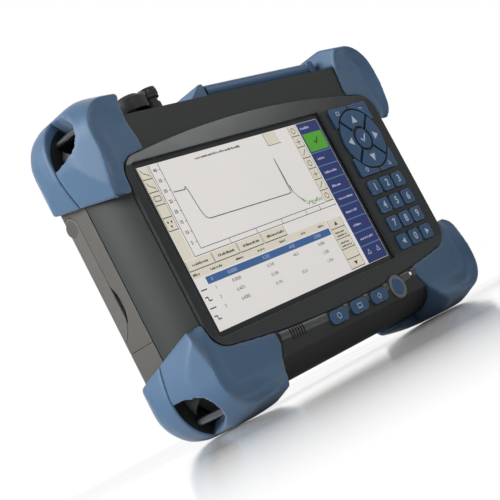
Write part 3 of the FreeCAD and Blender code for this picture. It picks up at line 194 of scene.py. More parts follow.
def moulded(name, body, rubbed, roughness, grain=0.0003, depth=0.00002, edge=0.0004, wear=0.5):
    """Moulded plastic or rubber: grain, faint clouds, softened and slightly rubbed edges."""
    material, tree, shader = new_material(name)
    spot = add(tree, "TexCoord")
    softened = add(tree, "Bevel", {"Radius": edge}, samples=4)
    surface = add(tree, "NewGeometry")
    turn = add(tree, "VectorMath", {0: softened.outputs["Normal"], 1: surface.outputs["Normal"]},
               operation="DOT_PRODUCT")
    on_edge = add(tree, "MapRange", {
        "Value": turn.outputs["Value"], "From Min": 0.995, "From Max": 0.86})
    cloud = add(tree, "TexNoise", {"Vector": spot.outputs["Object"], "Scale": 55.0, "Detail": 4.0})
    patchy = add(tree, "MapRange", {
        "Value": cloud.outputs["Fac"], "From Min": 0.35, "From Max": 0.65,
        "To Min": 0.35 * wear, "To Max": wear})
    rub = add(tree, "Math", {
        0: on_edge.outputs["Result"], 1: patchy.outputs["Result"]}, operation="MULTIPLY")
    tone = add(tree, "Mix", {
        "Factor": cloud.outputs["Fac"], 6: shade(body, 0.9), 7: shade(body, 1.1)}, data_type="RGBA")
    worn = add(tree, "Mix", {
        "Factor": rub.outputs["Value"], 6: tone.outputs[2], 7: colour(rubbed)}, data_type="RGBA")
    tree.links.new(worn.outputs[2], shader.inputs["Base Color"])
    dull = add(tree, "MapRange", {
        "Value": cloud.outputs["Fac"], "To Min": roughness - 0.06, "To Max": roughness + 0.06})
    tree.links.new(dull.outputs["Result"], shader.inputs["Roughness"])
    pits = add(tree, "TexNoise", {
        "Vector": spot.outputs["Object"], "Scale": 1 / grain, "Detail": 2.0})
    relief = add(tree, "Bump", {
        "Height": pits.outputs["Fac"], "Distance": depth, "Strength": 0.6,
        "Normal": softened.outputs["Normal"]})
    tree.links.new(relief.outputs["Normal"], shader.inputs["Normal"])
    return material


def dress(material, *names):
    """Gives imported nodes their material."""
    for name in names:
        nodes[name].material_slots[0].material = material


front_plastic = moulded("front_plastic", "262828", "6a6c6d", 0.56)
rear_plastic = moulded("rear_plastic", "53514e", "8c8b88", 0.5, grain=0.0004, depth=0.00003)
dress(front_plastic, "front_shell")
dress(rear_plastic, "rear_shell", "battery_housing")

# ------------------------------------------------- seam gasket and screws
# Black silicone cord pressed between the shells; five machine screws of
# blackened steel with cross recesses hold the shells from the back.


def metal(name, code, roughness):
    """Bare or plated metal with fine turning marks and slight tarnish."""
    material, tree, shader = new_material(name)
    shader.inputs["Metallic"].default_value = 1.0
    spot = add(tree, "TexCoord")
    marks = add(tree, "TexNoise", {
        "Vector": spot.outputs["Object"], "Scale": 2600.0, "Detail": 3.0})
    tarnish = add(tree, "TexNoise", {
        "Vector": spot.outputs["Object"], "Scale": 140.0, "Detail": 3.0})
    tone = add(tree, "Mix", {
        "Factor": tarnish.outputs["Fac"], 6: shade(code, 0.75), 7: colour(code)}, data_type="RGBA")
    tree.links.new(tone.outputs[2], shader.inputs["Base Color"])
    dull = add(tree, "MapRange", {
        "Value": marks.outputs["Fac"], "To Min": roughness - 0.08, "To Max": roughness + 0.1})
    tree.links.new(dull.outputs["Result"], shader.inputs["Roughness"])
    softened = add(tree, "Bevel", {"Radius": 0.00015}, samples=4)
    relief = add(tree, "Bump", {
        "Height": marks.outputs["Fac"], "Distance": 0.000004,
        "Normal": softened.outputs["Normal"]})
    tree.links.new(relief.outputs["Normal"], shader.inputs["Normal"])
    return material


def piece(name, mesh, material, body="case", smooth=True):
    """Object of a mesh, with one material, riding on a body."""
    mesh.materials.append(material)
    mesh.shade_smooth() if smooth else mesh.shade_flat()
    made = bpy.data.objects.new(name, mesh)
    bpy.context.scene.collection.objects.link(made)
    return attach(made, body)


def mesh_of(form, name):
    """Mesh of a finished form."""
    mesh = bpy.data.meshes.new(name)
    form.to_mesh(mesh)
    form.free()
    return mesh


silicone = moulded("silicone", "0b0c0c", "161718", 0.7, wear=0.1)
dress(silicone, "seam_gasket")
black_steel = metal("black_steel", "4a4b4d", 0.36)
dress(black_steel, "case_screws")


def carved_copy(node, name, cutters, finish=()):
    """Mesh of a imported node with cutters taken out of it; finish adds modifiers after them."""
    made = bpy.data.objects.new(name, nodes[node].data.copy())
    bpy.context.scene.collection.objects.link(made)
    joined = made.modifiers.new("join", "WELD")
    joined.merge_threshold = 0.00002
    tools = []
    for cutter in cutters:
        tool = bpy.data.objects.new("tool", cutter)
        bpy.context.scene.collection.objects.link(tool)
        hole = made.modifiers.new("hole", "BOOLEAN")
        hole.object = tool
        hole.solver = "EXACT"
        tools.append(tool)
    for kind, settings in finish:
        step = made.modifiers.new(kind.lower(), kind)
        for setting, value in settings.items():
            setattr(step, setting, value)
    bpy.context.view_layer.update()
    shaped = made.evaluated_get(bpy.context.evaluated_depsgraph_get())
    final = bpy.data.meshes.new_from_object(shaped)
    final.name = name
    for spent in [made] + tools:
        bpy.data.objects.remove(spent)
    final.materials.clear()
    return final


head_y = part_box("case_screws")[1].y
head_reach = 0.012                      # farther than any two points of one head
heads = []
for vert in nodes["case_screws"].data.vertices:
    if vert.co.y > head_y - 0.00005:
        near = [head for head in heads if (head[0] - vert.co).length < head_reach]
        if near:
            near[0].append(vert.co.copy())
        else:
            heads.append([vert.co.copy()])
cross_arm, cross_half_width, cross_depth = 0.0017, 0.0004, 0.0012
crosses = bmesh.new()
for head in heads:
    middle = sum(head, Vector()) / len(head)
    outline = []
    for turn in range(4):
        for out, side in ((cross_half_width, -cross_half_width), (cross_arm, -cross_half_width),
                          (cross_arm, cross_half_width)):
            for quarter in range(turn):
                out, side = -side, out
            outline.append((middle.x + out, middle.z + side))
    deep, clear = ([crosses.verts.new((x, y, z)) for x, z in outline]
                   for y in (head_y - cross_depth, head_y + 0.001))
    crosses.faces.new(deep)
    crosses.faces.new(clear)
    for i in range(len(outline)):
        crosses.faces.new((deep[i - 1], deep[i], clear[i], clear[i - 1]))
bmesh.ops.recalc_face_normals(crosses, faces=crosses.faces)
driven = carved_copy("case_screws", "case_screws_driven", [mesh_of(crosses, "crosses")])
screws = piece("case_screws_driven", driven, black_steel, smooth=False)
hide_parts("case_screws")

# ----------------------------------------------------------- bezel frame
# Separate moulded frame that clamps the glass: smoother, almost black
# plastic, its crowned top and bottom bands catching the light.
bezel_plastic = moulded("bezel_plastic", "2b2f30", "6c7273", 0.25,
                        grain=0.00025, depth=0.000012, edge=0.0007)
dress(bezel_plastic, "bezel_frame")

# ----------------------------------------------- touch glass and display
# Hardened glass with a black printed border over a seven-inch panel.
border_glass, tree, shader = new_material("border_glass")
shader.inputs["Coat Weight"].default_value = 0.6
shader.inputs["Coat Roughness"].default_value = 0.06
spot = add(tree, "TexCoord")
smear = add(tree, "TexNoise", {"Vector": spot.outputs["Object"], "Scale": 30.0, "Detail": 5.0})
film = add(tree, "MapRange", {"Value": smear.outputs["Fac"], "To Min": 0.16, "To Max": 0.3})
tree.links.new(film.outputs["Result"], shader.inputs["Roughness"])
ink = add(tree, "Mix", {
    "Factor": smear.outputs["Fac"], 6: colour("0c0e10"), 7: colour("16191c")}, data_type="RGBA")
tree.links.new(ink.outputs[2], shader.inputs["Base Color"])
dress(border_glass, "touch_glass")
panel_metal = metal("panel_metal", "8b8d8f", 0.4)
dress(panel_metal, "display_panel")

# ------------------------------------------------------------ lit picture
# What the panel shows, as thin films laid on the face of the glass: a trace
# plot, its scales, an event table, tabs, buttons and a side menu.  Each film
# lies a little in front of the one before.
glass_low, glass_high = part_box("touch_glass")
picture_x = (glass_low.x + glass_high.x) / 2
picture_z = (glass_low.z + glass_high.z) / 2
picture_y = glass_low.y
FILM = 0.00002                          # from one film to the next
GROUND, PANELS, BARS, DRAWING, TRACE, NOISE = range(6)


def lit(name, code, glow=0.6):
    """Lit part of the picture, with a soft unevenness of the lamp behind it."""
    material, tree, shader = new_material(name)
    shader.inputs["Roughness"].default_value = 0.34
    shader.inputs["Emission Color"].default_value = colour(code)
    shader.inputs["Emission Strength"].default_value = glow
    spot = add(tree, "TexCoord")
    lamp = add(tree, "TexNoise", {"Vector": spot.outputs["Object"], "Scale": 14.0, "Detail": 1.0})
    tone = add(tree, "Mix", {
        "Factor": lamp.outputs["Fac"], 6: shade(code, 0.42), 7: shade(code, 0.5)}, data_type="RGBA")
    tree.links.new(tone.outputs[2], shader.inputs["Base Color"])
    return material


def on_picture(x, z, layer):
    """Point of the picture, in millimetres from its middle."""
    return Vector((picture_x + x / 1000, picture_y - (layer + 1) * FILM, picture_z + z / 1000))


def sheet(form, outline, layer):
    """Adds one flat patch, given by its outline."""
    form.faces.new([form.verts.new(on_picture(x, z, layer)) for x, z in outline])


def patch(form, left, right, low, high, layer):
    """Adds one flat rectangle."""
    sheet(form, [(left, low), (right, low), (right, high), (left, high)], layer)


def stroke(form, points, width, layer):
    """Adds a line of even width through the points."""
    for (ax, az), (bx, bz) in zip(points, points[1:]):
        run = math.hypot(bx - ax, bz - az)
        if run < 1e-9:
            continue
        nx, nz = -(bz - az) / run * width / 2, (bx - ax) / run * width / 2
        ex, ez = (bx - ax) / run * width / 4, (bz - az) / run * width / 4
        sheet(form, [(ax - ex - nx, az - ez - nz), (bx + ex - nx, bz + ez - nz),
                     (bx + ex + nx, bz + ez + nz), (ax - ex + nx, az - ez + nz)], layer)


def figures(form, text, x, z, height, layer, bold=0.0):
    """Adds a number, set about its middle."""
    letters = bpy.data.curves.new("figures", "FONT")
    letters.body = text
    letters.size = height * 1.4 / 1000
    letters.offset = bold / 1000
    letters.align_x = "CENTER"
    letters.align_y = "CENTER"
    holder = bpy.data.objects.new("figures", letters)
    outline = bpy.data.meshes.new_from_object(holder)
    upright = Matrix.Rotation(math.pi / 2, 4, "X")
    outline.transform(Matrix.Translation(on_picture(x, z, layer)) @ upright)
    form.from_mesh(outline)
    bpy.data.objects.remove(holder)


def grey_words(form, left, right, z, height, layer, seed):
    """Adds a line of writing too small to read, as a row of uneven strokes."""
    rng = random.Random(seed)
    x = left
    while x < right - 0.3:
        step = min(rng.uniform(0.35, 0.8), right - x)
        tall = height * rng.choice((0.7, 0.7, 1.0))
        patch(form, x, x + step, z - height / 2, z - height / 2 + tall, layer)
        x += step + rng.choice((0.16, 0.16, 0.16, 0.6))


def show(form, name, material, code):
    """Makes a film of the picture from its form."""
    piece(name, mesh_of(form, name), lit(material, code), smooth=False)


# white ground of the whole picture, and the beige panels on it
ground = bmesh.new()
patch(ground, -76.2, 76.2, -45.7, 45.7, GROUND)
show(ground, "picture_ground", "picture_white", "e6e3e0")
left_tiles = [(-75.8, 45.4 - row * 7.2 - 6.8, -68.8, 45.4 - row * 7.2) for row in range(5)]
right_tiles = [(47.4, 45.4 - row * 7.0 - 6.6, 54.8, 45.4 - row * 7.0) for row in range(7)]
tabs = [(left, -12.8, left + 19.4, -7.2) for left in (-75.8, -56.0, -36.0, -15.8)]
table_keys = [(39.4, low, 52.6, low + tall) for low, tall in (
    (-19.6, 5.8), (-26.0, 6), (-32.4, 6), (-38.6, 5.8), (-44.6, 5.6))]
buttons = left_tiles + right_tiles + tabs + table_keys
beige = bmesh.new()
for left, low, right, high in buttons:
    patch(beige, left, right, low, high, PANELS)
patch(beige, -75.8, -68.8, -6.6, 9.2, PANELS)
patch(beige, -75.8, 38.0, -17.0, -13.2, PANELS)
patch(beige, 25.0, 36.0, 38.2, 45.4, PANELS)
show(beige, "picture_beige", "picture_beige", "dcd6c5")

# navy menu at the right with its green start tile and dividers
navy = bmesh.new()
patch(navy, 56.0, 76.0, -45.5, 45.5, PANELS)
show(navy, "picture_menu", "picture_navy", "28336a")
green = bmesh.new()
patch(green, 57.2, 75.0, 27.0, 38.5, BARS)
show(green, "picture_start_tile", "picture_green", "4fa02f")
teal = bmesh.new()
for z in (26.0, 17.4, 8.6, -0.2, -8.8, -17.6, -26.4, -35.0):
    patch(teal, 56.6, 75.6, z - 0.25, z + 0.25, BARS)
show(teal, "picture_dividers", "picture_teal", "4f86a8")

# blue bar of the chosen table row
chosen = bmesh.new()
patch(chosen, -68.0, 38.0, -21.8, -17.8, BARS)
show(chosen, "picture_chosen_row", "picture_blue", "3c6296")

# dark drawing: frame of the plot, scales, writing, outlines and small icons
ink_lines = bmesh.new()
for points in (
        [(-61, -3.4), (-61, 45.4)],
        [(-61, -3.4), (46.4, -3.4)],
        [(-67.6, 45.4), (-67.6, -6.4)],
        [(-67.6, -6.4), (54.8, -6.4)],
        [(25.0, 45.4), (25.0, 37.8), (36.6, 37.8)]):
    stroke(ink_lines, points, 0.34, DRAWING)
for left, low, right, high in buttons:
    stroke(ink_lines, [(left, high), (left, low), (right, low), (right, high)], 0.22, DRAWING)
    stroke(ink_lines, [(left, low), (right, low)], 0.45, DRAWING)
for x in (-39, -17, 5, 27, 40):
    stroke(ink_lines, [(x, -3.4), (x, -6.4)], 0.3, DRAWING)
for i in range(8):
    z = 0.6 + i * 5.9
    stroke(ink_lines, [(-61, z), (-62.2, z)], 0.3, DRAWING)
    figures(ink_lines, str(5 + 5 * i), -64.8, z, 1.9, DRAWING, bold=0.05)
for i, (left, low, right, high) in enumerate(left_tiles[:3]):
    slope = [(left + 1.2, high - 1.4), (left + 2.4, low + 3.4),
             (right - 2.6, low + 2.6), (right - 1.2, low + 1.4)]
    frame_icon = [(left + 1.4, low + 2.2), (right - 1.4, low + 2.2), (right - 1.4, high - 2),
                  (left + 1.4, high - 2), (left + 1.4, low + 2.2)]
    stroke(ink_lines, slope if i < 2 else frame_icon, 0.4, DRAWING)
left, low, right, high = left_tiles[4]
for x, z in ((left + 2.2, low + 4.6), (left + 4.8, low + 4.6), (left + 3.5, low + 2.2)):
    patch(ink_lines, x - 0.5, x + 0.5, z - 0.6, z + 0.6, DRAWING)
for i, (left, low, right, high) in enumerate(right_tiles):
    x, z = (left + right) / 2, (low + high) / 2
    ring = [(x + 1.7 * math.cos(k * math.pi / 4), z + 1.7 * math.sin(k * math.pi / 4))
            for k in range(9)]
    cross = [(x - 1.8, z), (x + 1.8, z), (x, z), (x, z + 1.8), (x, z - 1.8)]
    slash = [(x - 1.7, z - 1.7), (x + 1.8, z + 1.8)]
    stroke(ink_lines, (ring, cross, slash)[i % 3], 0.4, DRAWING)
grey_words(ink_lines, -34, 3, 42.4, 1.2, DRAWING, seed=1)
for i, (left, low, right, high) in enumerate(tabs):
    grey_words(ink_lines, left + 3.6, right - 4 + i, -10.0, 1.4, DRAWING, seed=10 + i)
headings = ((-75, -70), (-62, -53), (-42, -36), (-24, -18), (-5, 0), (14, 18), (30, 35))
for i, (left, right) in enumerate(headings):
    grey_words(ink_lines, left, right, -15.1, 1.3, DRAWING, seed=20 + i)
columns = (-48, -20, 2, 26)
rows = (
    ("0.0000", "0.318", "-46.2", "0.000"),
    ("6.4071", "0.184", "", "1.250"),
    ("6.4085", "0.191", "-55.4", "1.434"),
)
for i, cells in enumerate(rows):
    z = -24.6 - i * 5.2
    figures(ink_lines, str(i + 1), -64, z, 1.8, DRAWING)
    for x, cell in zip(columns, cells):
        if cell:
            figures(ink_lines, cell, x, z, 1.8, DRAWING)
for i, z in enumerate((-23.6, -28.6, -33.6, -38.8)):
    dash = [(-74.8, z), (-70.6, z)]
    step_down = [(-74.6, z + 1), (-72.7, z + 1), (-72.7, z - 1), (-70.6, z - 1)]
    stroke(ink_lines, (dash, step_down)[i % 2], 0.6, DRAWING)
sheet(ink_lines, [(44.4, -17.8), (47.6, -17.8), (46, -15.4)], DRAWING)
sheet(ink_lines, [(46, -43.2), (47.6, -40.8), (44.4, -40.8)], DRAWING)
for i, z in enumerate((-22.2, -24.2, -28.6, -30.6)):
    grey_words(ink_lines, 41.4, 49.6 + i % 2, z, 1.1, DRAWING, seed=40 + i)
show(ink_lines, "picture_ink", "picture_ink", "2f2f30")

# measured trace: launch step, long gentle slope, end spike, then noise
trace = bmesh.new()
stroke(trace, [(-60, 28.5), (-51.6, 28.1), (-50.6, 29.6), (-49.8, 27.2), (-48.9, 19),
               (-48.2, 14), (-47.0, 11), (-45.0, 9.7), (-42, 9.6), (20.6, 8.3), (23.6, 8.5),
               (23.9, 29.8), (24.3, 13), (25, 12.2), (25.4, 8.4), (27.2, 5.2), (31.8, 0.9)],
       0.5, TRACE)
show(trace, "picture_trace", "picture_trace", "46463f")
noise = bmesh.new()
rng = random.Random(7)
hills = [(31.8 + i * 0.36, max(-2.4, rng.gauss(-0.4, 1.0))) for i in range(40)]
stroke(noise, [(24.2, 14), (24.9, 9.4), (26.2, 7), (27.6, 4.6), (29, 3.4), (30.4, 0.6)],
       0.5, NOISE)
stroke(noise, hills, 0.4, NOISE)
show(noise, "picture_noise", "picture_noise", "6f9a3c")

# pale writing on the menu and the chosen row, and the tick of the start tile
pale = bmesh.new()
grey_words(pale, 58, 66, 42.2, 1.5, DRAWING, seed=60)
for i, z in enumerate((22, 13, 4, -4.4, -13.2, -22, -30.8)):
    grey_words(pale, 59.4, 66 + (i * 5) % 8, z, 1.4, DRAWING, seed=70 + i)
figures(pale, "0", -64, -19.8, 1.9, DRAWING)
for x, cell in zip(columns, ("0.0000", "0.203", "-44.8", "0.000")):
    figures(pale, cell, x, -19.8, 1.9, DRAWING)
for x in (61.5, 70.5):
    stroke(pale, [(x - 1.6, -40.4), (x + 1.6, -40.4), (x, -37.6), (x - 1.6, -40.4)],
           0.4, DRAWING)
show(pale, "picture_pale", "picture_pale", "aab6d6")
tick = bmesh.new()
stroke(tick, [(64.6, 33.2), (65.9, 31.6), (68.8, 34.8)], 0.8, DRAWING)
show(tick, "picture_tick", "picture_tick", "16240f")

# ------------------------------------------------------------ keypad keys
# Blue moulded keys and buttons over a rubber mat, with printed white marks.
key_plastic = moulded("key_plastic", "33567c", "8fa9c4", 0.4,
                      grain=0.0002, depth=0.00001, edge=0.0006, wear=0.9)
print_white = moulded("print_white", "c2cddb", "dfe4ea", 0.5, wear=0.2)
keypad_nodes = [name for name in nodes if name.startswith("key_") and name != "key_board"]
button_nodes = [name for name in nodes if name.startswith("function_button_")]
dress(key_plastic, *keypad_nodes, *button_nodes, "power_button")


PRINT = 0.00004                         # thickness of the print


def mark(node, draw):
    """Printed mark on a key's face; draw adds to a form, in millimetres from the key's middle."""
    low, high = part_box(node)
    form = bmesh.new()
    draw(form)
    for vert in form.verts:
        vert.co.x += (low.x + high.x) / 2 - picture_x
        vert.co.y = low.y - PRINT
        vert.co.z += (low.z + high.z) / 2 - picture_z
    piece(node + "_mark", mesh_of(form, node + "_mark"), print_white, node + "_body", smooth=False)


for name in keypad_nodes:
    label = name.replace("key_number_", "")
    if label.isdigit():
        mark(name, lambda form, label=label: figures(form, label, 0, 0, 4.6, GROUND, bold=0.12))
arrows = {"key_up": 90, "key_right": 0, "key_down": -90, "key_left": 180,
          "key_number_left": 180, "key_number_right": 0}
for name, angle in arrows.items():
    turn = math.radians(angle)
    size = 1.0 if "number" in name else 1.35

    def arrowhead(form, turn=turn, size=size):
        corners = [(2.1 * size, 0), (-1.5 * size, 2.0 * size), (-1.5 * size, -2.0 * size)]
        sheet(form, [(x * math.cos(turn) - z * math.sin(turn),
                      x * math.sin(turn) + z * math.cos(turn)) for x, z in corners], GROUND)

    mark(name, arrowhead)

# line and width of each drawn mark
circle = [(1.6 * math.cos(a * math.pi / 4), 1.6 * math.sin(a * math.pi / 4)) for a in range(9)]
line_marks = {
    "key_enter": ([(-2.6, 0.2), (-0.7, -2.0), (2.8, 2.4)], 1.0),
    "key_top_left": ([(-3.4, 1.6), (-0.6, 1.6), (-0.6, 3.6), (-3.4, 3.6), (-3.4, 1.6)], 0.5),
    "key_top_right": ([(0.6, 2.6), (3.6, 2.6), (2.4, 3.8), (3.6, 2.6), (2.4, 1.4)], 0.5),
    "key_low_left": ([(-3.6, -2.6), (-2.1, -1.2), (-0.6, -2.6), (-2.1, -4), (-3.6, -2.6)], 0.5),
    "key_low_right": ([(0.8, -4), (2.1, -1.4), (3.6, -4), (0.8, -4)], 0.5),
    "function_button_1": (circle, 0.6),
    "function_button_2": ([(-1.8, -1.2), (1.8, -1.2), (1.8, 1.2), (-1.8, 1.2), (-1.8, -1.2)], 0.5),
    "function_button_3": ([(-1.8, 0), (0, 1.6), (1.8, 0), (0, -1.6), (-1.8, 0)], 0.5),
}
for name, (points, width) in line_marks.items():
    mark(name, lambda form, points=points, width=width: stroke(form, points, width, GROUND))

# ------------------------------------------ power button, lamp, loudspeaker
# Round power button in a satin grey ring, a small white status lamp and
# the loudspeaker behind its slots, whose dark insides are painted shade:
# near-black sheets just within the slots.
ring_plastic = moulded("ring_plastic", "6b7076", "a9afb6", 0.34, edge=0.0005, wear=0.9)
dress(ring_plastic, "power_ring")
lamp_white = lit("lamp_white", "d4d9dd", 0.6)
dress(lamp_white, "status_lens")
dress(silicone, "speaker", "keypad_mat")
speaker_low, speaker_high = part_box("speaker")
speaker_x = (speaker_low.x + speaker_high.x) / 2
speaker_z = (speaker_low.z + speaker_high.z) / 2
chin_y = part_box("front_shell")[0].y
slot_middles = [speaker_x + (i - 2.5) * 0.0021 for i in range(6)]
# near-black sheets just within the slots: painted shade for their dark insides
painted_slot_shade = bmesh.new()
for x in slot_middles:
    painted_slot_shade.faces.new([
        painted_slot_shade.verts.new((x + dx * 0.00052, chin_y + 0.0002, speaker_z + dz * 0.00325))
        for dx, dz in ((-1, -1), (1, -1), (1, 1), (-1, 1))])
black_cloth = moulded("black_cloth", "050505", "0b0b0b", 0.85,
                      grain=0.0002, depth=0.00005, wear=0.0)
piece("speaker_cloth", mesh_of(painted_slot_shade, "speaker_cloth"), black_cloth, smooth=False)

# ------------------------------------------------------------ chin ridge
# Satin bead along the lower edge of the bezel, broken by the buttons and by
# the slots of the loudspeaker.  Its plastic is lighter than the bezel's as a
# painted highlight, standing in for the light that the lip of the chin catches.
# lighter grey than the bezel: painted highlight on the bead
ridge_plastic = moulded("ridge_plastic", "4b4d4e", "8b8d8e", 0.3,
                        grain=0.00025, depth=0.00001, edge=0.0003)
bezel_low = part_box("bezel_frame")[0]
RIDGE_END = 0.0652                      # half the length of the bead
RIDGE_HEIGHT = 0.0046
RIDGE_PROUD = 0.0006
RIDGE_ARCH = 0.0019                     # how far it rises over half the bezel's arch
ARCH_HALF = 0.0657
RIDGE_STEP = 0.003


def bead_gaps():
    """Stretches across the chin where buttons, lamp and slots break the bead, in metres."""
    gaps = [(x - 0.00055, x + 0.00055) for x in slot_middles]
    trims = [(name, 0.0006) for name in button_nodes] + [("power_ring", 0), ("status_lens", 0)]
    for node, trim in trims:
        low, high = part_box(node)
        gaps.append((low.x + trim - 0.0004, high.x - trim + 0.0004))
    return sorted(gaps)


bead = bmesh.new()
edges = [-RIDGE_END] + [x for gap in bead_gaps() for x in gap] + [RIDGE_END]
for start, stop in zip(edges[::2], edges[1::2]):
    steps = max(1, round((stop - start) / RIDGE_STEP))
    rows = []
    for i in range(steps + 1):
        x = start + (stop - start) * i / steps
        top = bezel_low.z - 0.00035 + RIDGE_ARCH * (x / ARCH_HALF) ** 2
        rows.append([
            bead.verts.new((x, chin_y + 0.0001 - RIDGE_PROUD * math.sin(math.pi * k / 8) ** 0.7,
                            top - RIDGE_HEIGHT * k / 8)) for k in range(9)])
    for one, two in zip(rows, rows[1:]):
        for k in range(8):
            bead.faces.new((one[k], one[k + 1], two[k + 1], two[k]))
bmesh.ops.recalc_face_normals(bead, faces=bead.faces)
piece("chin_ridge", mesh_of(bead, "chin_ridge"), ridge_plastic)

# ---------------------------------------------------------- corner bumpers
# Soft rubber in steel blue, wrapped over the housing's corners from the front
# and from the back, with every edge rounded over and a strap hole in each.
bumper_rubber = moulded("bumper_rubber", "436281", "88a0bb", 0.5,
                        grain=0.00045, depth=0.00003, edge=0.0012, wear=0.5)
rubber_shader = bumper_rubber.node_tree.nodes["Principled BSDF"]
rubber_shader.inputs["Sheen Weight"].default_value = 0.35
rubber_shader.inputs["Sheen Roughness"].default_value = 0.4
SHELL_CORNER = 0.016


def corner_of(side, level):
    """Middle of a housing corner's curve, the way out of it and the way along it."""
    shell_low, shell_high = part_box("front_shell")
    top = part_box("rear_shell")[1].z
    height = top - SHELL_CORNER if level > 0 else shell_low.z + SHELL_CORNER
    middle = Vector((side * (shell_high.x - SHELL_CORNER), 0, height))
    return middle, Vector((side, 0, level)).normalized(), Vector((side, 0, -level)).normalized()


def strap_cutter(side, level):
    """Solid of the long almond-shaped hole through an outer corner, for a carrying strap."""
    corner, outward, along = corner_of(side, level)
    outline = ((-9.3, 3.1), (-8.8, -2), (-6.5, -9), (-2, -16), (3, -18.6), (8, -19),
               (12, -17.2), (14.8, -13), (16, -7), (16.4, -2), (16.4, 3.1))
    form = bmesh.new()
    for reach in (0.0115, 0.04):
        form.faces.new([
            form.verts.new(corner + outward * reach + along * (a / 1000) + Vector((0, y / 1000, 0)))
            for a, y in outline])
    form.verts.ensure_lookup_table()
    count = len(outline)
    for i in range(count):
        k = (i + 1) % count
        form.faces.new([form.verts[i], form.verts[k], form.verts[k + count], form.verts[i + count]])
    bmesh.ops.recalc_face_normals(form, faces=form.faces)
    return mesh_of(form, "strap_cutter")


def hollow_front(mesh, level):
    """Deepens the groove that runs inside the ridge, at its steep side."""
    low, high = Vector(cad_low), Vector(cad_high)
    radius = 0.024                      # outer corner of a bumper
    groove_start, groove_width, groove_depth = 0.0064, 0.011, 0.0022
    inner_end = 0.099 if level > 0 else 0.086
    fade = 0.012                        # over which the groove runs out
    for vert in mesh.vertices:
        if vert.normal.y > -0.35 or vert.co.y > -0.0195:
            continue
        px = abs(vert.co.x) - (high.x - radius)
        pz = vert.co.z - (high.z - radius) if level > 0 else low.z + radius - vert.co.z
        inward = radius - (math.hypot(px, pz) if px > 0 and pz > 0 else max(px, pz))
        share = (inward - groove_start) / groove_width
        short_of_end = (abs(vert.co.x) - inner_end) / fade
        if 0 < share < 1 and short_of_end > 0:
            wave = math.sin(math.pi * share ** 0.6) ** 1.5
            vert.co.y += groove_depth * wave * min(1, short_of_end)


rounding = (
    ("REMESH", {"mode": "VOXEL", "voxel_size": 0.0008}),
    ("SMOOTH", {"factor": 0.5, "iterations": 12}),
)
for node in ("top_front_bumpers", "low_front_bumpers", "top_rear_bumpers", "low_rear_bumpers"):
    level = 1 if "top" in node else -1
    holes = [strap_cutter(side, level) for side in (-1, 1)] if "front" in node else []
    skin = carved_copy(node, node + "_rubber", holes, rounding)
    if holes:
        hollow_front(skin, level)
    rubber = piece(node + "_rubber", skin, bumper_rubber)
    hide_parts(node)
    dress(bumper_rubber, node)

# black rubber sheet at the back of each strap hole, in the seam: painted shade for the dark inside
# of the hole
seam = Vector((0, 0.00305, 0))
hole_shade_sheets = bmesh.new()
for side, level in ((-1, 1), (1, 1), (-1, -1), (1, -1)):
    corner, outward, along = corner_of(side, level)
    rim = [(16.2, 11.6), (-9.2, 11.6)]
    for i in range(11):
        a = -9.2 + i * 2.54
        rim.append((a, math.sqrt(22.9 ** 2 - a ** 2)))
    hole_shade_sheets.faces.new([
        hole_shade_sheets.verts.new(corner + along * (a / 1000) + outward * (o / 1000) + seam)
        for a, o in rim])
piece("strap_hole_lining", mesh_of(hole_shade_sheets, "strap_hole_lining"), silicone, smooth=False)
strap_steel = metal("strap_steel", "74777b", 0.3)
dress(strap_steel, "strap_bars")

# ------------------------------------------------------- stand and pivots
# Rear stand of the housing's plastic, swinging on two moulded pivots.
stand_plastic = moulded("stand_plastic", "5a5956", "8f8e8b", 0.46)
dress(stand_plastic, "kickstand")
pivot_plastic = moulded("pivot_plastic", "4c4b49", "9a9996", 0.4)
dress(pivot_plastic, "stand_pivots")

# ------------------------------------------------ battery door and pack
# Door of the housing's plastic over a wrapped lithium pack.
dress(rear_plastic, "battery_door")
wrap = moulded("battery_wrap", "20262c", "3a4048", 0.3)
dress(wrap, "battery_pack")

# -------------------------------------------------------- circuit boards
# Green solder mask over copper.
board_mask = moulded("board_mask", "1d4a2c", "8a7a3c", 0.35, grain=0.0012, depth=0.00004, wear=0.3)
dress(board_mask, "main_board", "key_board")

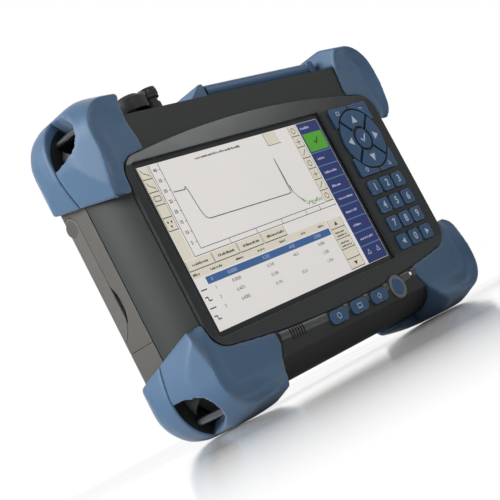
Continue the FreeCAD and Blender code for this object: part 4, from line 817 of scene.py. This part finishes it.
# ------------------------------------------------ optical module and ports
# Sealed light source and receiver in an aluminium case; plated ports.
module_case = metal("module_case", "8d9093", 0.45)
dress(module_case, "optical_module")
port_plate = metal("port_plate", "c9b98a", 0.28)
dress(port_plate, "optical_ports")

# -------------------------------------------------------- dust caps
# Moulded black caps with finger ribs: a domed one on a hinge, and a tall
# push-on one.
cap_rubber = moulded("cap_rubber", "17181a", "3d3f42", 0.5, edge=0.0006)
dress(cap_rubber, "flip_cap", "plug_cap")


def grips(form, middle, radius, low, high, count, proud):
    """Ring of closed, rounded ribs for the fingers."""
    lead = 0.0006                       # slope at both ends of a rib
    for i in range(count):
        corners = []
        for z, out in ((low, 0), (low + lead, proud), (high - lead, proud), (high, 0)):
            for k in range(-2, 3):
                turn = (i * 2 + k / 2.6) * math.pi / count
                r = radius - 0.0004 + (out + 0.0002) * math.cos(k * math.pi / 4)
                corners.append(form.verts.new(
                    (middle.x + r * math.sin(turn), middle.y - r * math.cos(turn), z)))
        bmesh.ops.convex_hull(form, input=corners)


plug_low, plug_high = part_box("plug_cap")
plug_middle = (plug_low + plug_high) / 2
plug_radius = (plug_high.x - plug_low.x) / 2
knurl = bmesh.new()
grips(knurl, plug_middle, plug_radius, plug_high.z - 0.0046, plug_high.z - 0.0006, 14, 0.0006)
plug_grips = piece("plug_cap_grips", mesh_of(knurl, "plug_cap_grips"), cap_rubber, "plug_cap_body")
flip_low, flip_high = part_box("flip_cap")
flip_radius = (flip_high.x - flip_low.x) / 2
flip_middle = (flip_low + flip_high) / 2
flip_middle.y = flip_low.y + flip_radius
ribs = bmesh.new()
grips(ribs, flip_middle, flip_radius, flip_low.z + 0.0008, flip_high.z - 0.0034, 36, 0.0003)
flip_grips = piece("flip_cap_grips", mesh_of(ribs, "flip_cap_grips"), cap_rubber, "flip_cap_body")
pin_steel = metal("pin_steel", "b3aa90", 0.25)
dress(pin_steel, "hinge_pins")

# ------------------------------------------------ cover and sockets
# Blue hinged cover over a black carrier with the data and power sockets.
cover_plastic = moulded("cover_plastic", "45678b", "93aac4", 0.42, edge=0.0008)
dress(cover_plastic, "port_cover", "cover_ears")
dress(silicone, "port_block")
